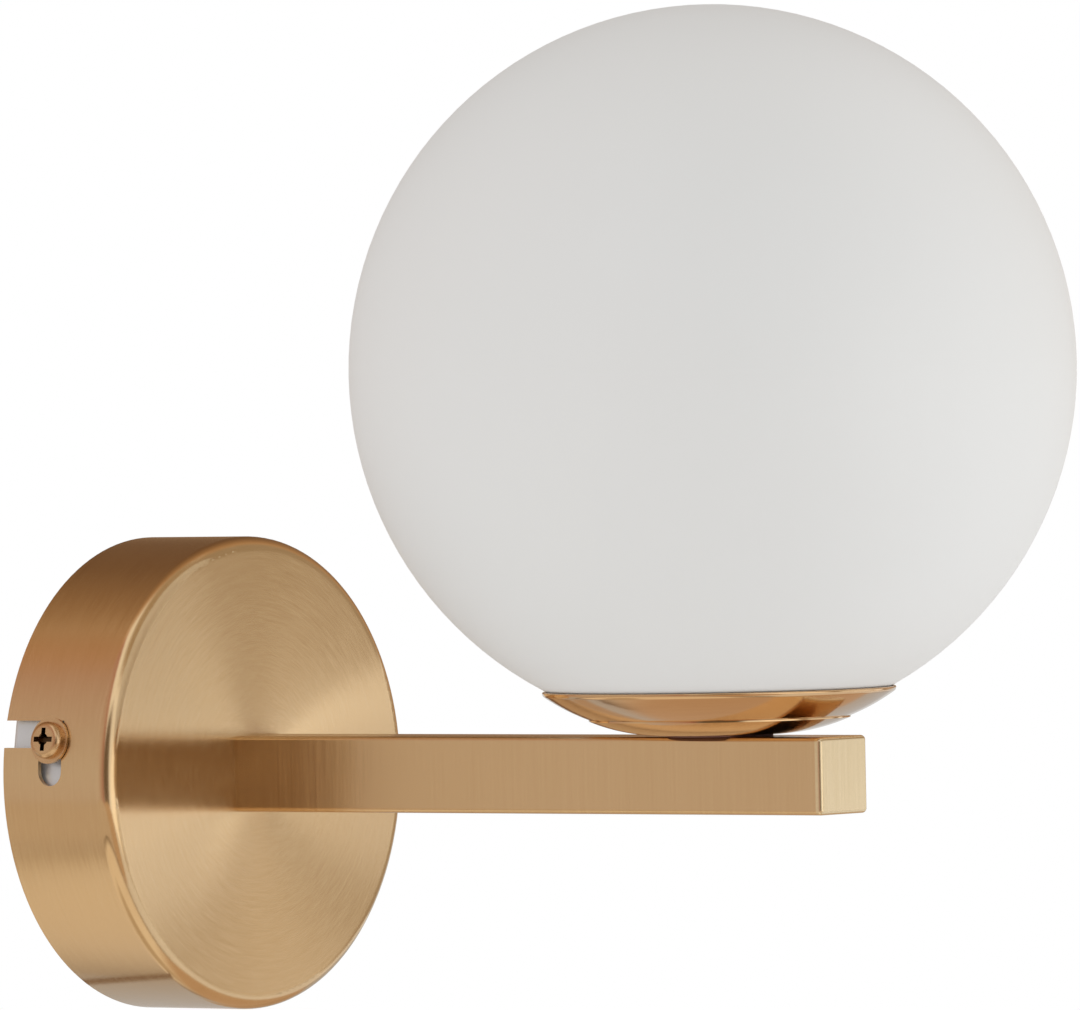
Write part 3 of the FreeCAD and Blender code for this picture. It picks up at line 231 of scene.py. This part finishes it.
def streaks_round(tree, along, middle, per_metre, per_turn):
    """A pattern of arcs round an axis.

    along is the axis, "Y" or "Z", through the point middle. per_metre says how close the arcs lie
    and per_turn how short they are."""
    inputs = {0: place_on_lamp(tree), 1: middle}
    offset = add(tree, "ShaderNodeVectorMath", inputs, operation="SUBTRACT").outputs[0]
    axes = dict(zip("XYZ", axes_of(tree, offset)))
    depth = axes.pop(along)
    flat = vector_of(tree, *axes.values())
    way = add(tree, "ShaderNodeVectorMath", {0: flat}, operation="NORMALIZE").outputs[0]
    turned = add(tree, "ShaderNodeVectorMath", {0: way, 3: per_turn}, operation="SCALE").outputs[0]
    round_x, round_y, _ = axes_of(tree, turned)
    travel = math_node(tree, "SUBTRACT", length_of(tree, flat), depth)
    return vector_of(tree, math_node(tree, "MULTIPLY", travel, per_metre), round_x, round_y)


def stretch_round(tree, shader, axis):
    """Mirror images smear across scratches that run round the axis."""
    tangent = add(tree, "ShaderNodeTangent", direction_type="RADIAL", axis=axis).outputs[0]
    feed(tree, shader, {"Tangent": tangent, "Anisotropic Rotation": QUARTER_TURN})


print("arcs can run round Y or Z")


# %% [markdown]
# ## The canopy's brass
# The rounding between the canopy's side and front is where hands hold it, so it is rubbed smooth and
# shows crisp lines of light. Two masks find it: far enough from the axis, and far enough from the
# wall. Their limits come from the canopy's own mesh, so they follow it if its size changes.

# %% Canopy
CANOPY_R = max(corner.x for corner in corners_of("canopy"))
CANOPY_DEPTH = -min(corner.y for corner in corners_of("canopy"))
EDGE_WIDE = 3.5 * MM
EDGE_FADE = 1.0 * MM
CANOPY_MIDDLE = Vector((0, 0, 0))


def from_edge(tree, value, outer):
    """0 up to EDGE_WIDE short of the outer limit, then quickly 1."""
    starts = outer - EDGE_WIDE
    return spread(tree, value, 0.0, 1.0, starts, starts + EDGE_FADE)


canopy_brass, tree, shader = new_finish("canopy_brushed_brass")
x, y, z = axes_of(tree, place_on_lamp(tree))
far_out = from_edge(tree, length_of(tree, vector_of(tree, x, z)), CANOPY_R)
far_front = from_edge(tree, math_node(tree, "MULTIPLY", y, -1.0), CANOPY_DEPTH)
rubbed_edge = math_node(tree, "MULTIPLY", far_out, far_front)
streak = streaks_round(tree, "Y", CANOPY_MIDDLE, per_metre=1700.0, per_turn=5.0)
brushed_brass(tree, shader, streak, rough=0.20, stretch=1.0, relief=0.8, rubbed=rubbed_edge)
stretch_round(tree, shader, "Y")
print("canopy radius", round(CANOPY_R / MM, 2), "mm, depth", round(CANOPY_DEPTH / MM, 2), "mm")


# %% [markdown]
# ## The arm's brass
# The square tube is brushed across its length on a belt, so on every side its scratches run round
# the tube. The end cap was brushed up and down, and its brass is painted paler than the tube's, a
# painted reflection of the bright room in front of it. Straight scratches need no axis: the pattern
# is squeezed along one axis and left long on the others, and a fixed tangent along that same axis
# stretches the mirror images across the scratches.

# %% Arm and end cap
# Painted reflection: the cap's brass is paler than the tube's, for the bright room that its end
# mirrors.
PAINTED_PALE_BRASS = ((0.76, 0.59, 0.345), (0.88, 0.715, 0.465))
AXIS_WAYS = {"X": (1.0, 0.0, 0.0), "Y": (0.0, 1.0, 0.0)}


def streaks_across(tree, axis, per_metre, slow=40.0):
    """A pattern of straight lines that the axis crosses; slow is how often they end, to the metre."""
    factors = [per_metre if letter == axis else slow for letter in "XYZ"]
    parts = zip(axes_of(tree, place_on_lamp(tree)), factors)
    return vector_of(tree, *[math_node(tree, "MULTIPLY", part, factor) for part, factor in parts])


def stretch_along(tree, shader, axis):
    """Mirror images smear along the axis."""
    feed(tree, shader, {"Tangent": vector_of(tree, *AXIS_WAYS[axis])})


arm_brass, tree, shader = new_finish("arm_brushed_brass")
streak = streaks_across(tree, "Y", per_metre=1700.0)
brushed_brass(tree, shader, streak, rough=0.20, stretch=1.0, relief=0.3)
stretch_along(tree, shader, "Y")

# The end cap wears the paler brass, a painted reflection of the bright room in front of it.
cap_brass, tree, shader = new_finish("end_cap_brushed_brass")
streak = streaks_across(tree, "X", per_metre=1900.0)
brushed_brass(tree, shader, streak, rough=0.20, stretch=1.0, relief=0.5, colours=PAINTED_PALE_BRASS)
stretch_along(tree, shader, "X")
print("finishes", arm_brass.name, cap_brass.name)


# %% [markdown]
# ## Turned brass of the dishes
# The two dishes are spun and then polished while they turn, so they are smoother than the canopy
# and keep only faint rings. A mirror with no rings at all would look like chrome. The canopy's own
# recipe serves, round the globe's axis and with far less smear.

# %% Dishes
DISH_BRASS = ((0.67, 0.43, 0.22), (0.75, 0.50, 0.27))
dish_ys = [corner.y for corner in corners_of("upper_dish")]
DISH_MIDDLE = Vector((0, (min(dish_ys) + max(dish_ys)) / 2, 0))

dish_brass, tree, shader = new_finish("dish_turned_brass")
streak = streaks_round(tree, "Z", DISH_MIDDLE, per_metre=3600.0, per_turn=3.0)
brushed_brass(tree, shader, streak, rough=0.10, stretch=0.3, relief=0.08, colours=DISH_BRASS)
stretch_round(tree, shader, "Z")
print("dishes stand", round(-DISH_MIDDLE.y / MM, 1), "mm from the wall")


# %% [markdown]
# ## Other metals
# Inside the lamp there are zinc-plated nuts, washers and strips, hard spring clips and plain turned
# brass. One flat grey would do for parts that hardly show, but it looks like plastic close by.
# Cast or rolled metal shows soft clouds of gloss and a few fine scratches, so each of these mixes
# a slow noise with a fast one.

# %% Plain metals
GRAIN_SHARE = 0.4
GRAIN_DEPTH = 0.02 * MM


def plain_metal(name, dark, light, rough, metallic=1.0, clouds=90.0, grain=2600.0, relief=0.1):
    """A metal with clouds of colour and gloss and a fine grain; both are counted to the metre."""
    material, tree, shader = new_finish(name)
    where = place_on_lamp(tree)
    cloud_part = math_node(tree, "MULTIPLY", noise(tree, where, clouds, 3.0), 1 - GRAIN_SHARE)
    fine = noise(tree, where, grain, 2.0, 0.6)
    mixed = math_node(tree, "MULTIPLY_ADD", fine, GRAIN_SHARE, cloud_part)
    colour = two_colours(tree, mixed, dark, light)
    gloss = spread(tree, mixed, rough - 0.08, rough + 0.1)
    normal = bump(tree, fine, relief, GRAIN_DEPTH)
    feed(tree, shader, {"Metallic": metallic})
    feed(tree, shader, {"Base Color": colour, "Roughness": gloss, "Normal": normal})
    return material


zinc = plain_metal("zinc_plated_steel", (0.64, 0.68, 0.72), (0.78, 0.82, 0.86), 0.34, metallic=0.7)
spring = plain_metal("spring_steel", (0.42, 0.42, 0.43), (0.55, 0.55, 0.56), 0.26)
plain_brass = plain_metal("plain_turned_brass", (0.68, 0.50, 0.25), (0.78, 0.60, 0.33), 0.3)
print("metals", zinc.name, spring.name, plain_brass.name)


# %% [markdown]
# ## The canopy screws
# The canopy screws are brass-plated steel with a cross recess, and the shade in that recess is
# painted.
# The recess is cut in the solid already. A second material on its few faces would have to change the
# mesh, so the plating turns dark brown, a painted shade, by itself wherever the surface lies below
# the flat top of the head and near the screw's axis. The screws point a little off X, and their mesh
# tells by how much.

# %% Canopy screws
screw_corners = corners_of("canopy_screw_left")
screw_middle = sum(screw_corners, Vector()) / len(screw_corners)
screw_ys = [corner.y for corner in screw_corners]
SCREW_Y = (min(screw_ys) + max(screw_ys)) / 2
SCREW_WAY = Vector((-screw_middle.x, 0, -screw_middle.z)).normalized()
HEAD_TOP = max(abs(corner.dot(SCREW_WAY)) for corner in screw_corners)
FLAT_TOP_R = 2.45 * MM
SHADE_STARTS = 0.12 * MM
SHADE_FULL = 0.30 * MM
# Painted shade: the dark brown that the cross recess is coloured with.
RECESS_PAINTED_SHADE = (0.07, 0.04, 0.02)
PLATING = ((0.60, 0.39, 0.21), (0.74, 0.51, 0.29))

plated_brass = plain_metal(
    "screw_plated_brass", *PLATING, rough=0.26, clouds=300.0, grain=3000.0, relief=0.25
)
tree = plated_brass.node_tree
shader = tree.nodes["Principled BSDF"]
plating = shader.inputs["Base Color"].links[0].from_socket
x, y, z = axes_of(tree, place_on_lamp(tree))
way_x = math_node(tree, "MULTIPLY", x, SCREW_WAY.x)
outwards = math_node(tree, "ABSOLUTE", math_node(tree, "MULTIPLY_ADD", z, SCREW_WAY.z, way_x))
below_top = spread(tree, outwards, 1.0, 0.0, HEAD_TOP - SHADE_FULL, HEAD_TOP - SHADE_STARTS)
way_z = math_node(tree, "MULTIPLY", z, SCREW_WAY.x)
aside_z = math_node(tree, "MULTIPLY_ADD", x, -SCREW_WAY.z, way_z)
aside_y = math_node(tree, "SUBTRACT", y, SCREW_Y)
from_axis = length_of(tree, vector_of(tree, aside_y, aside_z))
near_axis = math_node(tree, "LESS_THAN", from_axis, FLAT_TOP_R)
# Painted shade: inside the recess the plating gives way to dark brown.
shade = math_node(tree, "MULTIPLY", below_top, near_axis)
feed(tree, shader, {"Base Color": two_colours(tree, shade, plating, RECESS_PAINTED_SHADE)})
print("screw heads reach", round(HEAD_TOP / MM, 2), "mm out")


# %% [markdown]
# ## Opal glass
# The globe is white opal glass, etched matt outside. It has no sharp highlight, only a soft
# brightening towards its edge, where even a rough skin begins to mirror the room. Real opal also
# spreads light inside itself. That could be rendered, but slowly, and it hardly shows on a lamp that
# is off, so a pale colour with faint clouds stands for it. The etching is a very fine, even grain.

# %% Opal glass
OPAL_WHITE = ((0.80, 0.80, 0.785), (0.83, 0.83, 0.82))
ETCHING_DEPTH = 0.03 * MM
GLASS_IOR = 1.5

opal, tree, shader = new_finish("opal_glass_matt")
where = place_on_lamp(tree)
etched = noise(tree, where, 4200.0, 2.0, 0.6)
colour = two_colours(tree, noise(tree, where, 16.0), *OPAL_WHITE)
gloss = spread(tree, etched, 0.52, 0.62)
normal = bump(tree, etched, 0.12, ETCHING_DEPTH)
feed(tree, shader, {"Base Color": colour, "Roughness": gloss, "Normal": normal, "IOR": GLASS_IOR})
print("finish", opal.name)


# %% [markdown]
# ## Plastics, rubber, ceramic and leads
# These parts sit inside. Moulded plastic has a faint orange-peel skin, glazed ceramic is glossy
# with tiny pits, fibre is dull and speckled, silicone is soft and dusty, and the leads' covers are
# extruded, with long shallow waves. They differ only in colour, gloss and the size of the relief,
# so one helper makes them all.

# %% Moulded and soft materials
SKIN_DEPTH = 0.04 * MM
STAINS_PER_METRE = 120.0


def moulded(name, dark, light, rough, grain, relief, ior=1.46):
    """A skin with slow stains of colour and a fine relief, with grain spots to the metre."""
    material, tree, shader = new_finish(name)
    where = place_on_lamp(tree)
    fine = noise(tree, where, grain, 3.0, 0.55)
    colour = two_colours(tree, noise(tree, where, STAINS_PER_METRE), dark, light)
    gloss = spread(tree, fine, rough - 0.06, rough + 0.08)
    normal = bump(tree, fine, relief, SKIN_DEPTH)
    feed(tree, shader, {"Base Color": colour, "Roughness": gloss, "Normal": normal, "IOR": ior})
    return material


# After each name: dark and light colour, roughness, grain, relief and, where it differs, IOR.
nylon = moulded("terminal_nylon", (0.78, 0.77, 0.72), (0.84, 0.83, 0.79), 0.42, 1500.0, 0.3)
ceramic = moulded("holder_ceramic", (0.80, 0.79, 0.75), (0.87, 0.86, 0.83), 0.22, 700.0, 0.25, 1.55)
silicone = moulded("gasket_silicone", (0.55, 0.55, 0.54), (0.62, 0.62, 0.61), 0.55, 2200.0, 0.3, 1.41)
fibre = moulded("red_brown_fibre", (0.14, 0.06, 0.045), (0.20, 0.085, 0.06), 0.7, 3000.0, 0.6)
brown_cover = moulded("brown_lead", (0.11, 0.045, 0.02), (0.14, 0.06, 0.028), 0.4, 900.0, 0.2)
blue_cover = moulded("blue_lead", (0.02, 0.08, 0.30), (0.03, 0.10, 0.36), 0.4, 900.0, 0.2)
bulb_white = moulded("bulb_plastic", (0.80, 0.80, 0.79), (0.84, 0.84, 0.83), 0.35, 1200.0, 0.2)
phosphor = moulded("led_core", (0.75, 0.62, 0.20), (0.82, 0.70, 0.28), 0.6, 1800.0, 0.3)
print("eight moulded finishes")


# %% [markdown]
# ## Earth lead and bulb cover
# The earth lead's cover is green with a yellow stripe, as the wiring colours ask. A wave through
# space, slanted a little, crosses the thin lead as such a stripe without any picture to wrap round
# it. The bulb's cover is a frosted plastic, and light passes through it to the core.

# %% Earth lead and bulb cover
LEAD_GREEN = (0.05, 0.25, 0.05)
LEAD_YELLOW = (0.80, 0.62, 0.05)
STRIPE_SLANT = 1.4
STRIPE_WAVES = 900.0
STRIPE_BLUR = 0.1
FROST_DEPTH = 0.03 * MM

earth_cover, tree, shader = new_finish("earth_lead")
where = place_on_lamp(tree)
x, _, z = axes_of(tree, where)
slant = math_node(tree, "ADD", z, math_node(tree, "MULTIPLY", x, STRIPE_SLANT))
wave = math_node(tree, "SINE", math_node(tree, "MULTIPLY", slant, STRIPE_WAVES))
stripe = spread(tree, wave, 0.0, 1.0, -STRIPE_BLUR, STRIPE_BLUR)
colour = two_colours(tree, stripe, LEAD_GREEN, LEAD_YELLOW)
normal = bump(tree, noise(tree, where, 900.0), 0.2, SKIN_DEPTH)
feed(tree, shader, {"Base Color": colour, "Roughness": 0.42, "Normal": normal})

frosted, tree, shader = new_finish("bulb_cover")
fine = noise(tree, place_on_lamp(tree), 2600.0)
gloss = spread(tree, fine, 0.45, 0.6)
normal = bump(tree, fine, 0.2, FROST_DEPTH)
feed(tree, shader, {"Base Color": as_colour((0.9, 0.9, 0.88)), "Roughness": gloss, "Normal": normal})
feed(tree, shader, {"Transmission Weight": 0.55, "IOR": 1.49})
print("finishes", earth_cover.name, frosted.name)


# %% [markdown]
# ## Dress every part
# The table below says which finish goes on which part. Each part keeps its own shape from the
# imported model: only the material in its slots changes. A table shows at a glance what is made of
# what, and the last line proves that no part was forgotten.

# %% Dress the parts
WORN_BY = {
    canopy_brass: ["canopy"],
    arm_brass: ["arm_tube"],
    cap_brass: ["arm_end_cap"],
    dish_brass: ["lower_dish", "upper_dish"],
    plated_brass: ["canopy_screw_left", "canopy_screw_right"],
    zinc: [
        "wall_bracket", "earth_screw", "earth_washer", "terminal_strap", "earth_tag", "canopy_washer",
        "canopy_nut", "canopy_nipple", "terminal_screws", "terminal_block_screw", "clip_plate",
        "clip_rivets", "dish_washer", "dish_nut", "holder_nipple", "holder_bracket", "holder_washer",
        "holder_nut", "holder_screws", "bulb_pins",
    ],
    spring: ["glass_clip_1", "glass_clip_2", "glass_clip_3"],
    plain_brass: ["terminal_tubes", "arm_base_block", "arm_boss", "holder_contacts"],
    opal: ["glass_globe"],
    nylon: ["terminal_block"],
    ceramic: ["lamp_holder"],
    silicone: ["globe_gasket"],
    fibre: ["dish_spacer"],
    brown_cover: ["live_lead"],
    blue_cover: ["neutral_lead"],
    earth_cover: ["earth_lead"],
    bulb_white: ["bulb_base"],
    frosted: ["bulb_cover"],
    phosphor: ["led_core"],
}

for finish, names in WORN_BY.items():
    for name in names:
        for slot in lamp_nodes[name].material_slots:
            slot.material = finish
dressed = {name for names in WORN_BY.values() for name in names}
print("parts without a finish:", sorted(set(lamp_nodes) - dressed))


# %% [markdown]
# ## The studio
# The lamp was photographed against plain white. A white background must not come from more light,
# or the pale globe would burn out, so the world is white where the camera or a mirror looks and
# dimmer where it lights. A pale floor stands well below, out of the photo's frame.

# %% World and floor
LIGHT_FROM_ALL_SIDES = 0.80
FLOOR_DOWN = -0.26
FLOOR_R = 1.1
FLOOR_PALE = (0.95, 0.95, 0.95)

world = bpy.data.worlds.new("white_studio")
scene.world = world
world.use_nodes = True
tree = world.node_tree
rays = add(tree, "ShaderNodeLightPath").outputs
seen = math_node(tree, "MAXIMUM", rays["Is Camera Ray"], rays["Is Glossy Ray"])
seen = math_node(tree, "MAXIMUM", seen, rays["Is Transmission Ray"])
strength = spread(tree, seen, LIGHT_FROM_ALL_SIDES, 1.0)
feed(tree, tree.nodes["Background"], {"Color": (1, 1, 1, 1), "Strength": strength})


def round_sheet(name, radius, sides=96):
    """A flat disc of triangles round one middle point."""
    mesh = bpy.data.meshes.new(name)
    sheet = bmesh.new()
    bmesh.ops.create_circle(sheet, cap_ends=True, cap_tris=True, radius=radius, segments=sides)
    sheet.to_mesh(mesh)
    sheet.free()
    thing = bpy.data.objects.new(name, mesh)
    scene.collection.objects.link(thing)
    return thing


floor = round_sheet("studio_floor", FLOOR_R)
floor.location = (0, -0.1, FLOOR_DOWN)
floor_paint, tree, shader = new_finish("floor_paint")
feed(tree, shader, {"Base Color": as_colour(FLOOR_PALE), "Roughness": 0.9})
floor.data.materials.append(floor_paint)
print("floor", -FLOOR_DOWN, "m below the canopy's axis")


# %% [markdown]
# ## Lights
# Plain even light would leave the globe as flat as a paper disc. Three round soft lights model it:
# a large one from the front right, a weaker one from behind and above, and a small one from low
# on the left. They stay unseen in the brass, where their round images would look wrong.

# %% Lights
LAMP_MIDDLE = Vector((0.0, -0.1, 0.04))


def hang_light(name, towards, away, size, power):
    """A round soft light, so many metres from the lamp's middle and facing it."""
    data = bpy.data.lights.new(name, "AREA")
    data.shape = "DISK"
    data.size = size
    data.energy = power
    thing = bpy.data.objects.new(name, data)
    scene.collection.objects.link(thing)
    way = Vector(towards).normalized()
    facing = way.to_track_quat("Z", "Y").to_matrix().to_4x4()
    thing.matrix_world = Matrix.Translation(LAMP_MIDDLE + way * away) @ facing
    thing.visible_glossy = False


hang_light("key_lamp", (0.66, -0.75, -0.05), away=1.8, size=1.1, power=6.0)
hang_light("back_lamp", (0.35, 0.9, 0.35), away=1.8, size=1.1, power=2.0)
hang_light("low_lamp", (-0.80, -0.55, -0.16), away=1.1, size=0.24, power=0.35)
print("three lights round", tuple(round(value, 3) for value in LAMP_MIDDLE))


# %% [markdown]
# ## Cards for the mirrors
# Brushed brass shows nothing but its surroundings. A photographer hangs dark and brown cards round
# such a lamp to draw its form: without them the metal turns as white as the room. A picture of a
# room would do the same, but it would be a picture. Each card here is a soft-edged disc that only
# mirrors can see, so it shapes the brass and never dims the globe.

# %% Card maker


def card_paint(name, colour, soft, rim, rim_from):
    """A glow that fades to clear over the outer share soft of the radius.

    It changes to the colour rim from rim_from of the radius outwards."""
    material = bpy.data.materials.new(name)
    material.use_nodes = True
    tree = material.node_tree
    tree.nodes.remove(tree.nodes["Principled BSDF"])
    out = math_node(tree, "MULTIPLY", length_of(tree, place_on_lamp(tree)), 2.0)
    cover = spread(tree, out, 1.0, 0.0, 1 - soft, 1.0, "SMOOTHSTEP")
    painted = two_colours(tree, spread(tree, out, 0.0, 1.0, rim_from, 1.0), colour, rim or colour)
    glow = add(tree, "ShaderNodeEmission", {"Color": painted, "Strength": 1.0}).outputs[0]
    clear = add(tree, "ShaderNodeBsdfTransparent").outputs[0]
    mixed = add(tree, "ShaderNodeMixShader", {0: cover, 1: clear, 2: glow}).outputs[0]
    feed(tree, tree.nodes["Material Output"], {"Surface": mixed})
    return material


def new_card(name, colour, soft, rim=None, rim_from=0.75):
    """A disc one metre across that only mirrors see."""
    card = round_sheet(name, 0.5)
    card.data.materials.append(card_paint(name, colour, soft, rim, rim_from))
    for kind in ("camera", "diffuse", "transmission", "volume_scatter", "shadow"):
        setattr(card, f"visible_{kind}", False)
    return card


def hang_card(name, middle, facing, width, height, colour, soft, roll=0.0, **rim):
    """An oval card at a point, turned to face a way and rolled by so many degrees."""
    card = new_card(name, colour, soft, **rim)
    turned = facing.to_track_quat("Z", "Y").to_matrix().to_4x4()
    rolled = turned @ Matrix.Rotation(math.radians(roll), 4, "Z")
    card.matrix_world = Matrix.Translation(middle) @ rolled @ Matrix.Diagonal((width, height, 1, 1))


print("cards are seen by mirrors only")


# %% [markdown]
# ## The large cards
# The canopy's front mirrors what stands on its right, its side mirrors a full turn of the room, and
# the arm's near side mirrors the back left. Each of those gets a card, placed by two angles as a
# photographer would point at it: how far round from +X, and how high above level.

# %% Large cards


def way_to(azimuth, above):
    """A direction from two angles in degrees: azimuth from +X towards +Y, and above level."""
    turn, lift = math.radians(azimuth), math.radians(above)
    return Vector((math.cos(turn) * math.cos(lift), math.sin(turn) * math.cos(lift), math.sin(lift)))


def card_at(name, azimuth, above, away, half_wide, half_high, colour, soft, **rim):
    """A card that covers so many degrees each way, seen from the lamp."""
    way = way_to(azimuth, above)
    width, height = (2 * away * math.tan(math.radians(half)) for half in (half_wide, half_high))
    hang_card(name, LAMP_MIDDLE + way * away, way, width, height, colour, soft, **rim)


SHADE_BROWN = (0.19, 0.11, 0.06)
GLOW_RIM = (0.85, 0.56, 0.32)
WALL_BEIGE = (0.67, 0.62, 0.565)
RED_BROWN_RIM = (0.35, 0.05, 0.0)

# After each name: azimuth, above, metres away, degrees each way, colour and softness.
card_at("room_right_front", -38, 0, 3.2, 60, 60, (0.42, 0.35, 0.27), 0.35)
card_at("softbox_front", -88, -12, 2.6, 26, 26, (1.3, 1.26, 1.2), 0.5)
card_at("ceiling_front", -95, 58, 2.2, 38, 38, (0.44, 0.35, 0.25), 0.5)
card_at("card_round_camera", -142.1, 0.7, 2.4, 26, 32, (0.16, 0.12, 0.085), 0.5)
card_at("wall_left_back", 142.1, 0, 2.6, 62, 62, WALL_BEIGE, 0.3, rim=RED_BROWN_RIM, rim_from=0.02)
card_at("card_over_the_wall", 47.7, 34, 1.6, 68, 68, SHADE_BROWN, 0.6, rim=GLOW_RIM, rim_from=0.1)
card_at("horizon_right_back", 38, -14, 1.3, 38, 13, (0.66, 0.66, 0.65), 0.15)
print("seven large cards")


# %% [markdown]
# ## Bright bars
# Far cards light both halves of the canopy's front alike, but in the photo its fans differ above and
# below. Bright bars close to the lamp break that balance, since each hangs where the camera sees its
# mirror image at a chosen point of the front. One more bar makes the arm's end cap pale.

# %% Bright bars
# The way in which the camera looks, after a flat front has mirrored it, and made level.
MIRRORED =Vector((-back.x, back.y, 0.0)).normalized()
FRONT_MIDDLE = Vector((0.0, -0.026, -0.005))
LOW_RIGHT = FRONT_MIDDLE + Vector((0.044, 0, -0.022))
LOW_LEFT = FRONT_MIDDLE + Vector((-0.048, 0, -0.026))
LOW = FRONT_MIDDLE + Vector((0.0, 0, -0.072))
BEFORE_THE_CAP = Vector((0.0, -0.2, 0.0))
BAR_PALE = (1.15, 1.15, 1.15)
BAR_CREAM = (0.92, 0.86, 0.77)
BAR_GREY = (0.90, 0.90, 0.90)


def hang_bar(name, seen_at, away, width, height, colour, soft, roll=0.0):
    """A bright card whose mirror image in a flat front lies at the point seen_at."""
    hang_card(name, seen_at + MIRRORED * away, MIRRORED, width, height, colour, soft, roll)


hang_bar("bar_across", FRONT_MIDDLE, 0.35, 0.40, 0.026, BAR_PALE, soft=0.6, roll=20)
hang_bar("bar_low_right", LOW_RIGHT, 0.36, 0.060, 0.040, BAR_PALE, soft=0.6, roll=-15)
hang_bar("bar_low_left", LOW_LEFT, 0.36, 0.052, 0.036, BAR_PALE, soft=0.6, roll=20)
hang_bar("bar_low", LOW, 0.37, 0.090, 0.068, BAR_CREAM, soft=0.7)
hang_bar("bar_for_the_cap", BEFORE_THE_CAP, 0.3, 0.26, 0.26, BAR_GREY, soft=0.4)
print("bars hang along", tuple(round(value, 3) for value in MIRRORED))


# %% [markdown]
# ## Cards below
# The bottom of the canopy's side and both dishes mirror the floor, and a bare white floor would make
# them look like silver. Cards in browns and greys lie on it instead, a few millimetres over each
# other so that no two share a plane. One small card hangs beside the dish, because from the floor it
# would show in the canopy's side too.

# %% Cards below
DOWN = Vector((0, 0, -1))
WARM_GREY = (0.62, 0.53, 0.44)
COOL_GREY = (0.52, 0.51, 0.50)
CREAM = (0.88, 0.79, 0.67)
DARK_RIM = (0.16, 0.10, 0.06)
TAN = (0.58, 0.42, 0.29)
OLIVE_TAN = (0.56, 0.46, 0.34)
NUT_BROWN = (0.50, 0.35, 0.22)
BESIDE_DISH = Vector((0.080, 0.002, -0.10))


def lay_card(name, x, y, over_floor, width, depth, colour, soft, **rim):
    """A card that lies so many millimetres over the floor."""
    middle = Vector((x, y, FLOOR_DOWN + over_floor * MM))
    hang_card(name, middle, DOWN, width, depth, colour, soft, **rim)


# After each name: X and Y, millimetres over the floor, width and depth, colour and softness.
lay_card("brown_below", -0.75, 0.30, 4, 1.70, 1.70, WARM_GREY, 0.1)
lay_card("grey_below", 0.45, 0.50, 6, 1.30, 1.30, COOL_GREY, 0.02)
lay_card("card_below", -0.208, -0.013, 10, 0.70, 0.70, CREAM, 0.02, rim=DARK_RIM, rim_from=0.72)
lay_card("brown_front_below", -0.70, -0.65, 3, 1.30, 1.30, TAN, 0.1)
lay_card("brown_under_canopy", -0.10, 0.03, 14, 0.40, 0.16, OLIVE_TAN, 0.5)
lay_card("brown_under_dish", 0.21, -0.10, 16, 0.54, 0.42, TAN, 0.3)
hang_card("brown_beside_dish", BESIDE_DISH, DOWN, 0.115, 0.075, NUT_BROWN, 0.35, roll=35)
print("seven cards below")


# %% [markdown]
# ## The dark rod
# The photo shows a thin dark line along the bottom of the canopy's side. Brushing smears every mirror
# image there, so a line on the floor would blur away. A rod that lies along the smear keeps its
# edges, since it is only smeared along itself. It is a long narrow card with three axes of its own.

# %% Dark rod
ROD_MIDDLE = Vector((0.053, 0.114, -0.163))
ROD_WAY = Vector((0.457, 0.582, 0.673))
ROD_LENGTH = 0.36
ROD_WIDTH = 0.014
ROD_BROWN = (0.22, 0.14, 0.09)
LINE_ON_SIDE = Vector((-0.025, -0.014, -0.043))

rod = new_card("dark_rod_below", ROD_BROWN, 0.5)
towards_line = (LINE_ON_SIDE - ROD_MIDDLE).normalized()
aside = ROD_WAY.cross(towards_line).normalized()
facing = aside.cross(ROD_WAY)
rod_axes = Matrix((ROD_WAY * ROD_LENGTH, aside * ROD_WIDTH, facing)).transposed().to_4x4()
rod.matrix_world = Matrix.Translation(ROD_MIDDLE) @ rod_axes
print("rod", ROD_LENGTH, "m long and", ROD_WIDTH, "m wide")
